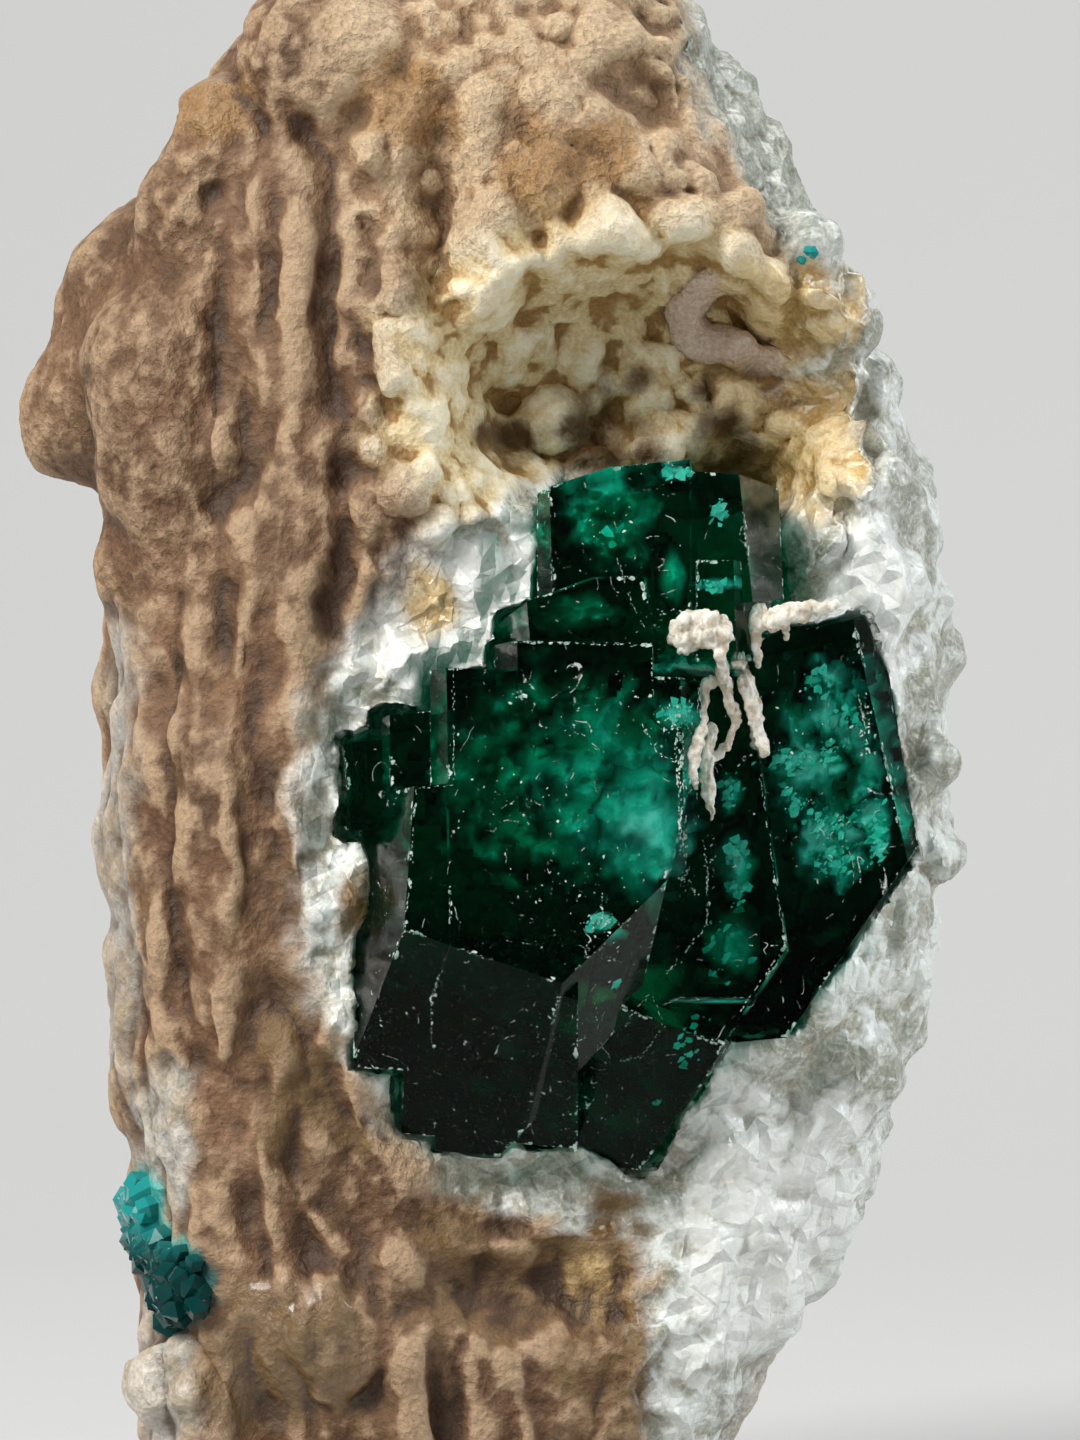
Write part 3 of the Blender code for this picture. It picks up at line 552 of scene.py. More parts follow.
def new_material(name):
    """A material with its Principled shader and Object coordinates in millimetres."""
    material = bpy.data.materials.new(name)
    material.use_nodes = True
    tree = material.node_tree
    shader = tree.nodes["Principled BSDF"]
    coordinates = add_node(tree, "ShaderNodeTexCoord").outputs["Object"]
    place = add_node(tree, "ShaderNodeMapping", {"Vector": coordinates, "Scale": (1000.0,) * 3})
    return material, tree, shader, place.outputs[0]


def bump(tree, height, depth, strength=1.0, normal=None):
    """Bump of a height from 0 to 1 that stands for depth millimetres."""
    inputs = {"Height": height, "Distance": depth * MM, "Strength": strength}
    if normal is not None:
        inputs["Normal"] = normal
    return add_node(tree, "ShaderNodeBump", inputs).outputs[0]


def stone_sockets(tree, place):
    """The attributes and textures that the stone's colour, gloss and bump share."""
    at = {name: attribute(tree, name) for name in
          ("height", "crease", "quartz", "cream", "druse", "worm", "amber", "rust", "snow",
           "gloss", "drape", "teal", "root", "covered")}
    at["place"] = place
    at["high"] = height_of(tree, place)
    at["broad"] = noise_texture(tree, place, 3.2)
    at["middle"] = noise_texture(tree, place, 0.8, 6.0, 0.65)
    at["fine"] = noise_texture(tree, place, 0.16, 3.0, 0.6)
    # Partly painted light and shade: the colours built on crest and crease make raised places paler
    # and creases darker, for shading as well as for the stone's tone
    risen = plus(tree, times(tree, at["height"], 0.6), times(tree, at["crease"], 0.4))
    at["crest"] = plus(tree, risen, maths(tree, "MULTIPLY_ADD", at["middle"], 0.6, -0.3),
                       clamp=True)
    at["calm"] = times(tree, at["drape"], 0.4)
    return at


def crust_colour(tree, at, settings):
    """Tan crust with pale crests, partly a painted highlight, and dull patches, its druse and its
    worm-like crusts.
    """
    tan = mix_colour(tree, ramp(tree, at["broad"], 0.35, 0.7), settings.tan, TONES["warm_tan"])
    dull = ramp(tree, noise_texture(tree, at["place"], 7.0, 3.0), 0.35, 0.65)
    tan = mix_colour(tree, dull, tan, dimmed(tree, tan, TONES["dull_share"]))
    tan = mix_colour(tree, ramp(tree, at["crest"], 0.45, 0.8), tan, settings.crest)
    druse = mix_colour(tree, ramp(tree, at["crest"], 0.3, 0.7), TONES["druse_low"],
                       TONES["druse_crest"])
    tan = mix_colour(tree, at["druse"], tan, druse)
    tan = dimmed(tree, tan, TONES["tan_share"])
    return mix_colour(tree, at["worm"], tan, TONES["worm"])


def hollow_colour(tree, at, settings):
    """Cream lumps of the hollow with pale crests and brown creases, partly painted highlight and
    painted shade.
    """
    cream = mix_colour(tree, ramp(tree, at["middle"], 0.3, 0.7), settings.cream,
                       TONES["old_cream"])
    cream = mix_colour(tree, ramp(tree, at["crest"], 0.5, 0.9), cream, TONES["cream_crest"])
    return mix_colour(tree, ramp(tree, at["crease"], 0.34, 0.06), cream, TONES["cream_crease"])


def quartz_colour(tree, at, settings):
    """Milky to grey quartz with pale veins, dark creases that are partly painted shade, milky white
    patches that are partly painted light, and painted shade towards the top.
    """
    smoky = ramp(tree, plus(tree, at["broad"], times(tree, at["middle"], 0.35)), 0.58, 0.8)
    smoky = minus(tree, smoky, at["snow"], clamp=True)
    white = mix_colour(tree, smoky, settings.quartz, settings.smoke)
    veins = times(tree, scratch_mask(tree, at["place"], 1.8, 0.02), 0.4)
    white = mix_colour(tree, veins, white, TONES["vein"])
    # Partly painted shade: the quartz is darker in its creases
    white = mix_colour(tree, ramp(tree, at["crease"], 0.42, 0.0), white, TONES["quartz_crease"])
    # Painted shade: the quartz is dimmed above Z 43 to 49
    white = mix_colour(tree, ramp(tree, at["high"], 43.0, 49.0), white,
                       dimmed(tree, white, TONES["high_quartz_share"]))
    # Partly painted light: the milky patches are painted brighter still
    return mix_colour(tree, times(tree, at["snow"], 0.6), white, TONES["snow"])


def stained(tree, at, settings, colour):
    """A colour with the amber and rusty patches, of which the rusty ones in the hollow are a
    painted shadow, and the teal around the small crystals, painted darker below and lighter above.
    """
    stain = ramp(tree, at["middle"], 0.15, 0.5)
    # Partly a painted highlight: amber is paler on its crests
    amber = mix_colour(tree, ramp(tree, at["crest"], 0.3, 0.8), settings.amber,
                       TONES["pale_amber"])
    amber = mix_colour(tree, ramp(tree, at["high"], 46.5, 48.5), amber, TONES["dome_amber"])
    colour = mix_colour(tree, times(tree, at["amber"], stain), colour, amber)
    # Rust, and in the hollow a painted shadow in rust colours, darkest above Z 36 to 38
    rust_and_shadow_share = times(tree, at["rust"], maths(tree, "MULTIPLY_ADD", stain, 0.5, 0.5))
    rust = mix_colour(tree, ramp(tree, at["high"], 36.0, 38.0), settings.rust,
                      TONES["hollow_rust_and_shadow"])
    colour = mix_colour(tree, rust_and_shadow_share, colour, rust)
    # Painted light: the teal around the small crystals is dark below and brighter above
    teal = mix_colour(tree, ramp(tree, at["high"], 10.6, 11.8), TONES["teal_low"],
                      TONES["teal_high"])
    return mix_colour(tree, at["teal"], colour, teal)


def dirtied_and_shaded(tree, at, colour):
    """A colour darkened in its low places and creases, partly by earth and partly as painted shade,
    with a speckle, and with the painted dark shade under the crystals.
    """
    low = plus(tree, times(tree, at["height"], 0.7), times(tree, at["crease"], 0.3))
    clean_and_unshaded = at["quartz"]
    for name, share in (("cream", 0.5), ("druse", 0.5), ("worm", 0.7)):
        clean_and_unshaded = larger(tree, clean_and_unshaded, times(tree, at[name], share))
    # Partly earth and partly painted shade: low places and creases are darkened, least on quartz,
    # cream lumps, druse and worm crusts
    dirt_and_shade = times(tree, ramp(tree, low, 0.5, 0.15), minus(tree, 0.95, clean_and_unshaded, clamp=True))
    earth_and_shade = mix_colour(tree, at["cream"], TONES["earth_and_shade"], TONES["cream_earth_and_shade"])
    colour = mix_colour(tree, dirt_and_shade, colour, earth_and_shade)
    speckle = mix_colour(tree, ramp(tree, at["fine"], 0.3, 0.75), TONES["speckle"], (1, 1, 1))
    speckle_share = times(tree, minus(tree, 1.0, at["calm"]), 0.3)
    colour = mix_colour(tree, speckle_share, colour, speckle, "OVERLAY")
    # Painted shade: the stone that the crystals cover is near black, going up to a painted green
    # glow
    painted_shade_and_glow_under_crystals = mix_colour(tree, ramp(tree, at["high"], *ROOT_GLOW), TONES["root"],
                      TONES["painted_glow_under_crystals"])
    return mix_colour(tree, larger(tree, at["root"], at["covered"]), colour, painted_shade_and_glow_under_crystals)


def stone_gloss(tree, at, shader):
    """Rough crust, smoother quartz and amber, and a coat on what glistens."""
    rough = add_node(tree, "ShaderNodeMapRange",
                     {"Value": at["quartz"], "To Min": 0.6, "To Max": 0.24}).outputs[0]
    rough = minus(tree, rough, times(tree, at["amber"], 0.2))
    rough = plus(tree, rough, maths(tree, "MULTIPLY_ADD", at["fine"], 0.3, -0.15), clamp=True)
    rough = mix_value(tree, times(tree, at["gloss"], 0.6), rough, 0.2)
    tree.links.new(rough, shader.inputs["Roughness"])
    shiny = larger(tree, at["gloss"], times(tree, at["quartz"], 0.6))
    tree.links.new(times(tree, shiny, 0.7), shader.inputs["Coat Weight"])
    shader.inputs["Coat Roughness"].default_value = 0.12


def stone_bump(tree, at, shader):
    """Grain and pits on the crust, and small flat breaks on the quartz."""
    crusty = minus(tree, 1.0, times(tree, at["quartz"], 0.75))
    even = larger(tree, at["calm"], times(tree, at["cream"], 0.5))
    crusty = times(tree, crusty, minus(tree, 1.0, even))
    grain = plus(tree, times(tree, at["fine"], 0.5), at["middle"])
    normal = bump(tree, times(tree, grain, crusty), 0.24, 1.0)
    pits = times(tree, voronoi_texture(tree, at["place"], 2.5), crusty)
    normal = bump(tree, pits, 0.16, 0.8, normal)
    turned = add_node(tree, "ShaderNodeMapping", {"Vector": at["place"], "Rotation": BREAK_TURN})
    facets = voronoi_texture(tree, turned.outputs[0], 0.9, "MANHATTAN")
    normal = bump(tree, times(tree, facets, at["quartz"]), 0.4, 0.9, normal)
    tree.links.new(normal, shader.inputs["Normal"])


def stone_material(settings):
    """Tan crust, cream lumps, amber patches and broken quartz, told apart by attributes."""
    material, tree, shader, place = new_material("crusted_quartz")
    at = stone_sockets(tree, place)
    colour = mix_colour(tree, at["cream"], crust_colour(tree, at, settings),
                        hollow_colour(tree, at, settings))
    colour = mix_colour(tree, at["quartz"], colour, quartz_colour(tree, at, settings))
    colour = dirtied_and_shaded(tree, at, stained(tree, at, settings, colour))
    tree.links.new(colour, shader.inputs["Base Color"])
    stone_gloss(tree, at, shader)
    stone_bump(tree, at, shader)
    return material


def floor_material(settings):
    material, tree, shader, place = new_material("studio_floor")
    soft = noise_texture(tree, place, 60.0, 2.0)
    colour = mix_colour(tree, soft, settings.floor, [c * 1.04 for c in settings.floor])
    tree.links.new(colour, shader.inputs["Base Color"])
    shader.inputs["Roughness"].default_value = 0.8
    return material


def scratch_mask(tree, place, size, width):
    """Thin bright lines where a distorted noise passes through its middle value."""
    wave = noise_texture(tree, place, size, 2.0, 0.5, 1.2)
    line = maths(tree, "ABSOLUTE", minus(tree, wave, 0.5))
    return ramp(tree, line, width, 0.0)


def crystal_material(name, settings, tint, density, body=(0.93, 1.0, 0.97), clear=1.0):
    """Clear crystal with absorbing inside and fine scratches; one less clear has a body colour,
    painted lighter towards the top.
    """
    material, tree, shader, place = new_material(name)
    shader.inputs["IOR"].default_value = settings.ior
    shader.inputs["Specular Tint"].default_value = (*[settings.shine] * 3, 1.0)
    breaks = noise_texture(tree, place, 0.5, 4.0, 0.7)
    marks = times(tree, scratch_mask(tree, place, 3.0, 0.006), ramp(tree, breaks, 0.54, 0.62))
    marks = times(tree, marks, 0.6)
    # Painted light: the body colour of a less clear crystal is lit brighter towards the top
    lit = [min(1.0, 6.0 * part) for part in body] if clear < 1.0 else body
    base = mix_colour(tree, ramp(tree, height_of(tree, place), *BRIGHT_SPAN), body, lit)
    colour = mix_colour(tree, marks, base, (0.62, 0.74, 0.66))
    tree.links.new(colour, shader.inputs["Base Color"])
    see_through = times(tree, minus(tree, 1.0, marks), clear)
    tree.links.new(see_through, shader.inputs["Transmission Weight"])
    haze = add_node(tree, "ShaderNodeMapRange", {"Value": breaks, "From Min": 0.4, "From Max": 0.8,
                                                 "To Min": 0.02, "To Max": 0.12}).outputs[0]
    tree.links.new(larger(tree, haze, times(tree, marks, 0.5)), shader.inputs["Roughness"])
    normal = bump(tree, noise_texture(tree, place, 1.6, 2.0), 0.012, 0.5)
    normal = bump(tree, breaks, 0.008, 0.35, normal)
    tree.links.new(normal, shader.inputs["Normal"])
    absorb = add_node(tree, "ShaderNodeVolumeAbsorption",
                      {"Color": (*tint, 1.0), "Density": density})
    tree.links.new(absorb.outputs[0], tree.nodes["Material Output"].inputs["Volume"])
    return material


def veil_material():
    """Milky healed cracks inside the crystals."""
    material, tree, shader, place = new_material("inner_veil")
    cloud = noise_texture(tree, place, 0.35, 5.0, 0.7)
    colour = mix_colour(tree, ramp(tree, cloud, 0.3, 0.7), (0.01, 0.80, 0.60), (0.22, 1.0, 0.86))
    # Painted shade: each veil is darkened to the crystal's dark green where its shade is high,
    # towards its edges
    colour = mix_colour(tree, attribute(tree, "shade"), colour, (0.004, 0.03, 0.022))
    tree.links.new(colour, shader.inputs["Base Color"])
    shader.inputs["Roughness"].default_value = 0.45
    return material


def cream_material():
    material, tree, shader, place = new_material("cream_crust")
    middle = noise_texture(tree, place, 0.5, 5.0, 0.65)
    colour = mix_colour(tree, ramp(tree, middle, 0.35, 0.6), (0.56, 0.48, 0.35),
                        (0.92, 0.88, 0.79))
    tree.links.new(colour, shader.inputs["Base Color"])
    shader.inputs["Roughness"].default_value = 0.7
    tree.links.new(bump(tree, noise_texture(tree, place, 0.12, 4.0, 0.7), 0.06),
                   shader.inputs["Normal"])
    return material


def new_object(name, data):
    """A new object in the scene."""
    made = bpy.data.objects.new(name, data)
    bpy.context.scene.collection.objects.link(made)
    return made


def mesh_object(name, form, materials=()):
    """Make an object from a bmesh and free the bmesh."""
    mesh = bpy.data.meshes.new(name)
    form.to_mesh(mesh)
    form.free()
    for material in materials:
        mesh.materials.append(material)
    return new_object(name, mesh)


def even_skin(thing, voxel):
    """Draw one even skin around all that a mesh holds, once its modifiers are applied."""
    remesh = thing.modifiers.new("even_skin", "REMESH")
    remesh.mode = "VOXEL"
    remesh.voxel_size = voxel


def apply_modifiers(thing):
    """Replace the object's mesh by its evaluated mesh and remove its modifiers."""
    bpy.context.view_layer.update()
    evaluated = thing.evaluated_get(bpy.context.evaluated_depsgraph_get())
    baked = bpy.data.meshes.new_from_object(evaluated)
    thing.modifiers.clear()
    old = thing.data
    thing.data = baked
    baked.name = thing.name
    bpy.data.meshes.remove(old)


def set_on_frame(thing, slot, *nodes):
    """Take a piece from millimetres to its place on the frame and let it ride there."""
    thing.data.transform(TO_METRES)
    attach(thing, "root")
    if nodes:
        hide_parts(*nodes)


def get_vectors(mesh, name):
    """The places or normals of a mesh's points as rows of an array."""
    flat = np.empty(len(mesh.vertices) * 3, dtype=np.float32)
    mesh.vertices.foreach_get(name, flat)
    return flat.reshape(-1, 3).astype(float)


def get_points(mesh):
    return get_vectors(mesh, "co")


def set_points(mesh, points):
    mesh.vertices.foreach_set("co", points.astype(np.float32).ravel())
    mesh.update()


def get_normals(mesh):
    return get_vectors(mesh, "normal")


def set_attribute(mesh, name, values):
    made = mesh.attributes.new(name, "FLOAT", "POINT")
    made.data.foreach_set("value", np.asarray(values, dtype=np.float32))


def smooth(share):
    share = np.clip(share, 0.0, 1.0)
    return share * share * (3.0 - 2.0 * share)


def noise_at(points, size, offset=0.0):
    """Smooth noise from about -1 to 1 at every point, with features size millimetres wide."""
    scaled = points / size + offset
    return np.array([noise.noise(place) for place in scaled.tolist()])


def warp_at(points, size, reach):
    """Smooth random shifts of up to about reach millimetres at every point."""
    return np.column_stack([noise_at(points, size, k) for k in (31.7, 57.3, 83.9)]) * reach


def station_at(height, column):
    return np.interp(height, STATIONS[:, 0], STATIONS[:, column])


def dome_scale(height):
    rise = max(0.0, (height - DOME_START) / (STONE_HEIGHT - DOME_START))
    return math.sqrt(max(0.0, 1.0 - rise ** 2.4))


def body_point(angle, height):
    """A point of the smooth body: angle 0 is right, a quarter turn is back."""
    scale = dome_scale(height)
    cosine, sine = math.cos(angle), math.sin(angle)
    reach_x = station_at(height, 2) if cosine > 0.0 else -station_at(height, 1)
    reach_y = station_at(height, 4) if sine > 0.0 else station_at(height, 3)
    power = 2.0 / SECTION_POWER
    x = math.copysign(abs(cosine) ** power, cosine) * reach_x * scale
    y = math.copysign(abs(sine) ** power, sine) * reach_y * scale
    return Vector((x, y, height))


def front_depth(x, height):
    """Y of the smooth body's front surface at one place of the front view."""
    scale = max(dome_scale(height), 0.01)
    reach = (station_at(height, 2) if x > 0.0 else -station_at(height, 1)) * scale
    share = min(abs(x) / reach, 1.0)
    return -station_at(height, 3) * scale * (1.0 - share ** SECTION_POWER) ** (1.0 / SECTION_POWER)


def hollow_push(x, height):
    """How far the hollows push the front back, for arrays of places of the front view."""
    push = np.zeros_like(x)
    for centre_x, centre_z, half_width, half_height, depth, soft in HOLLOWS:
        radius = np.hypot((x - centre_x) / half_width, (height - centre_z) / half_height)
        push += depth * smooth((1.0 + soft - radius) / (2.0 * soft))
    return push


def patches(x, height, table, wobble, margin=0.0, reach=1.25, sway=0.35):
    """1 inside the oval patches of a table and 0 outside, on the front of the stone."""
    share = np.zeros_like(x)
    for centre_x, centre_z, half_width, half_height in table:
        radius = np.hypot((x - centre_x) / (half_width + margin),
                          (height - centre_z) / (half_height + margin))
        share = np.maximum(share, smooth((reach + wobble * sway - radius) / 0.5))
    return share


def stone_body():
    """Points and faces of a ball shaped to the stone's sections."""
    form = bmesh.new()
    bmesh.ops.create_uvsphere(form, u_segments=SEGMENTS, v_segments=RINGS, radius=1.0)
    for vert in form.verts:
        share = vert.co.z * 0.5 + 0.5
        height = share * (STONE_HEIGHT + BELOW_BASE) - BELOW_BASE
        angle = math.atan2(vert.co.y, vert.co.x)
        if abs(vert.co.z) > 0.9999:
            vert.co = Vector((0.0, 0.0, height))
        else:
            vert.co = body_point(angle, height)
    points = [vert.co[:] for vert in form.verts]
    faces = [[vert.index for vert in face.verts] for face in form.faces]
    form.free()
    return points, faces


def ball_template(detail):
    form = bmesh.new()
    bmesh.ops.create_icosphere(form, subdivisions=detail, radius=1.0)
    points = np.array([vert.co[:] for vert in form.verts])
    faces = np.array([[vert.index for vert in face.verts] for face in form.faces])
    form.free()
    return points, faces


def lumps_mesh(name, lumps, detail, points=(), faces=()):
    """One mesh of balls, each flattened along its direction, added to a body if given."""
    ball, ball_faces = ball_template(detail)
    all_points = [np.array(points).reshape(-1, 3)]
    all_faces = list(faces)
    start = len(points)
    for centre, radius, direction, squash in lumps:
        turn = np.array(direction.to_track_quat("Z", "Y").to_matrix())
        shape = ball * (radius, radius, radius * squash)
        all_points.append(shape @ turn.T + np.array(centre))
        all_faces.extend((ball_faces + start).tolist())
        start += len(ball)
    mesh = bpy.data.meshes.new(name)
    mesh.from_pydata(np.concatenate(all_points).tolist(), [], all_faces)
    return new_object(name, mesh)


def outward(x, y, height):
    """Rough outward direction of the body at a point."""
    return Vector((x, y * 1.2, (height - STONE_MIDDLE.z) * 0.2)).normalized()


def knob_lumps():
    """The large knobs of the crust and the lumps of the hollow."""
    lumps = []
    for x, z, radius, proud in KNOBS:
        y = front_depth(x, z)
        direction = outward(x, y, z)
        lumps.append((Vector((x, y, z)) + direction * (proud - radius * 0.5), radius, direction,
                      LUMP_SQUASH))
    for x, z, radius in VUG_LUMPS:
        centre = Vector((x, front_depth(x, z), z))
        lumps.append((centre, radius, Vector((0.0, -1.0, 0.2)), 0.95))
    return lumps


def strand_lumps(strands, proud, straight=False):
    """Strings of balls on the front surface, raised outwards or straight to the front."""
    lumps = []
    for strand in strands:
        for start, end in zip(strand, strand[1:]):
            first, last = Vector(start), Vector(end)
            steps = int((last - first).length / RIDGE_STEP) + 1
            for k in range(steps):
                x, z, radius = first.lerp(last, k / steps)
                x += 0.5 * noise.noise(Vector((x * 0.4, z * 0.4, 3.0)))
                radius *= 1.0 + 0.3 * noise.noise(Vector((x * 0.5, z * 0.3, 9.0)))
                y = front_depth(x, z)
                direction = FRONTWARD if straight else outward(x, y, z)
                centre = Vector((x, y, z)) - direction * radius * (1.0 - proud)
                lumps.append((centre, radius, direction, LUMP_SQUASH))
    return lumps


def crowded(x, z, radius, placed):
    """Whether a lump would lie too near one of those placed before it."""
    return any((x - px) ** 2 + (z - pz) ** 2 < (0.85 * (radius + pr)) ** 2
               for px, pz, pr in placed)


def small_lumps():
    """Small lumps scattered over the hollow's lining and the crust around it."""
    rng = random.Random(SEED)
    placed = []
    tries = 0
    middle_x, middle_z, half_width, half_height = LUMP_OVAL
    gap_x, gap_z, gap_radius = CRYSTAL_GAP
    while len(placed) < SMALL_LUMPS and tries < LUMP_TRIES:
        tries += 1
        x = rng.uniform(*LUMP_SPAN_X)
        z = rng.uniform(*LUMP_SPAN_Z)
        radius = rng.uniform(*SMALL_LUMP_RANGE)
        inside = math.hypot((x - middle_x) / half_width, (z - middle_z) / half_height)
        if inside > 1.0 or (x - gap_x) ** 2 + (z - gap_z) ** 2 < gap_radius ** 2:
            continue
        if not crowded(x, z, radius, placed):
            placed.append((x, z, radius))
    while len(placed) < SMALL_LUMPS + DOME_LUMPS:
        x = rng.gauss(*DOME_LUMP_X)
        z = rng.gauss(*DOME_LUMP_Z)
        radius = rng.uniform(*DOME_LUMP_RANGE)
        if -4.5 < x < 7.0 and z < 57.5:
            placed.append((x, z, radius))
    return [(Vector((x, front_depth(x, z) - 0.15 * radius, z)), radius,
             Vector((rng.uniform(-0.3, 0.3), -1.0, 0.3)), 0.95) for x, z, radius in placed]


def flatten_breaks(points):
    """Move the points that lie past one of the quartz's breaks back onto it."""
    for direction, distance in BREAKS:
        normal = np.array(Vector(direction).normalized())
        past = np.maximum((points - np.array(STONE_MIDDLE)) @ normal - distance, 0.0)
        points = points - past[:, None] * normal * 0.85
    return points


def worm_share(x, z):
    """1 on the worm-like crusts in the front view and 0 beside them."""
    share = np.zeros_like(x)
    for centre, radius, _, _ in strand_lumps(WORMS, WORM_RISE, True):
        far = np.hypot(x - centre.x, z - centre.z) / radius
        share = np.maximum(share, smooth((1.45 - far) / 0.35))
    return share


def quartz_share(points, wobble, front):
    """1 on bare quartz: past the rim, around the crystals, at the back and in pale patches."""
    x, y, z = points.T
    rim = smooth((x - np.interp(z, *RIM_EDGE.T) + wobble * 0.9) / 1.3 + 0.5)
    basin = smooth((x - np.interp(z, *BASIN_EDGE.T) + wobble * 0.9) / 1.8 + 0.5)
    low, high = BASIN_SPAN
    basin = basin * smooth((z - low + wobble) / 0.8) * smooth((high - z + wobble) / 0.8) * front
    broad = noise_at(points, 8.0, 11.0)
    back = smooth((x * 0.9 + y - 5.0 + wobble * 2.0 + broad * 9.0) / 2.5)
    left = smooth((-12.2 - x + wobble * 0.8) / 1.0) * smooth((2.0 - y + broad * 8.0) / 3.0)
    left = left * smooth((z - 12.0 + wobble) / 3.0) * smooth((35.0 - z + broad * 6.0) / 3.0)
    pale = patches(x, z, PALE, wobble) * front
    # Painted shade: the quartz at the left edge counts at only about a third of its share, which
    # leaves that edge darker
    return np.maximum.reduce((rim * np.maximum(front, back), basin, back, left * 0.34,
                              pale * 0.45))


def flow_shares(points, wobble, front, cream):
    """1 where the crust runs down in ridges, and 1 where its knobs are melted smooth."""
    x, _, z = points.T
    drape = smooth((-2.5 - x + wobble) / 3.0) * (1.0 - cream) * smooth((55.0 - z) / 6.0)
    under = smooth((5.6 - x + wobble) / 1.5) * smooth((13.5 - z) / 2.0) * front
    drape = np.maximum(drape, under * 0.8)
    low, high = KNOB_SPAN
    knobs = smooth((-9.6 - x + wobble) / 1.5) * smooth((z - low) / 2.0) * smooth((high - z) / 2.0)
    drape = drape * (1.0 - 0.8 * knobs)
    return drape, np.maximum(knobs, patches(x, z, GLOSSY, np.zeros_like(x)) * front)


def stone_regions(points):
    """Shares of each kind of surface at every point, from its place on the stone."""
    x, y, z = points.T
    wobble = noise_at(points, 2.4) + 0.8 * noise_at(points, 0.9, 7.0)
    front = smooth((2.0 - y) / 6.0)
    quartz = quartz_share(points, wobble, front)
    middle_x, middle_z, half_width, half_height = HOLLOW_OVAL
    radius = np.hypot((x - middle_x) / half_width, (z - middle_z) / half_height)
    worm = worm_share(x, z) * front
    cream = smooth((1.15 - radius + wobble * 0.1) / 0.3) * front * (1.0 - worm)
    drape, knobs = flow_shares(points, wobble, front, cream)
    return {
        "quartz": quartz,
        "cream": cream,
        "worm": worm,
        "druse": smooth((z - 44.0 + wobble * 2.0) / 4.0) * smooth((x + 7.5 + wobble) / 3.0) * front,
        "amber": patches(x, z, AMBER, wobble) * front * (0.75 + 0.25 * smooth(0.5 + wobble)),
        "rust": patches(x, z, RUST_AND_SHADOW, wobble) * front * smooth(0.6 + wobble),
        "gloss": patches(x, z, GLOSSY, wobble) * front,
        "snow": patches(x, z, SNOW_AND_PAINTED_LIGHT, wobble) * front,
        "drape": drape * (1.0 - quartz * 0.7),
        "smooth": knobs,
    }


def blurred_place(tree, passes):
    """Each point's place, and the mean place of its surroundings."""
    place = add_node(tree, "GeometryNodeInputPosition").outputs[0]
    blurred = add_node(tree, "GeometryNodeBlurAttribute", data_type="FLOAT_VECTOR")
    vector_in = [s for s in blurred.inputs if s.type == "VECTOR" and s.enabled][0]
    tree.links.new(place, vector_in)
    blurred.inputs["Iterations"].default_value = passes
    return place, [s for s in blurred.outputs if s.type == "VECTOR" and s.enabled][0]


def melt(tree, geometry, share, passes):
    """Draw the points towards the mean of their surroundings by a share."""
    place, blurred = blurred_place(tree, passes)
    shift = vectors(tree, "SCALE", vectors(tree, "SUBTRACT", blurred, place), scale=share)
    return add_node(tree, "GeometryNodeSetPosition",
                    {"Geometry": geometry, "Offset": shift}).outputs[0]


def store_relief(tree, geometry, name, passes, reach):
    """Store how far each point stands above its blurred surroundings, reach giving 0 to 1."""
    place, blurred = blurred_place(tree, passes)
    normal = add_node(tree, "GeometryNodeInputNormal").outputs[0]
    above = vectors(tree, "DOT_PRODUCT", vectors(tree, "SUBTRACT", place, blurred), normal)
    share = add_node(tree, "ShaderNodeMapRange", {"Value": above, "From Min": -reach,
                                                  "From Max": reach}).outputs[0]
    return add_node(tree, "GeometryNodeStoreNamedAttribute",
                    {"Geometry": geometry, "Name": name, "Value": share},
                    data_type="FLOAT", domain="POINT").outputs[0]


def new_tree(name, values):
    """A geometry nodes tree, its inputs, and each input's value by its socket's identifier."""
    tree = bpy.data.node_groups.new(name, "GeometryNodeTree")
    face = tree.interface
    for way in ("INPUT", "OUTPUT"):
        face.new_socket("Geometry", in_out=way, socket_type="NodeSocketGeometry")
    identifiers = {}
    for label, value in values.items():
        socket = face.new_socket(label, in_out="INPUT", socket_type="NodeSocketFloat")
        identifiers[socket.identifier] = value
    return tree, tree.nodes.new("NodeGroupInput").outputs, identifiers


def stored(tree, name):
    """The value of a mesh attribute at each point."""
    return add_node(tree, "GeometryNodeInputNamedAttribute", {"Name": name},
                    data_type="FLOAT").outputs["Attribute"]


def scaled(tree, place, size, stretch=(1.0, 1.0, 1.0)):
    """Where to read a texture so that its features are size millimetres wide."""
    return vectors(tree, "SCALE", vectors(tree, "MULTIPLY", place, stretch),
                   scale=maths(tree, "DIVIDE", 1.0, size))


def relief_noise(tree, place, detail, roughness=0.5, output="Fac"):
    return add_node(tree, "ShaderNodeTexNoise",
                    {"Vector": place, "Scale": 1.0, "Detail": detail,
                     "Roughness": roughness}).outputs[output]


def domes(tree, place, size, height):
    """Domes that meet in creases."""
    far = add_node(tree, "ShaderNodeTexVoronoi",
                   {"Vector": scaled(tree, place, size), "Scale": 1.0,
                    "Randomness": 0.9}).outputs["Distance"]
    return times(tree, minus(tree, 0.55, times(tree, far, far)), height)


def breaks(tree, place, size, height):
    """Flat-sided points that meet in creases."""
    far = voronoi_texture(tree, scaled(tree, place, size), 1.0, "MANHATTAN")
    return times(tree, minus(tree, 0.6, far), height)


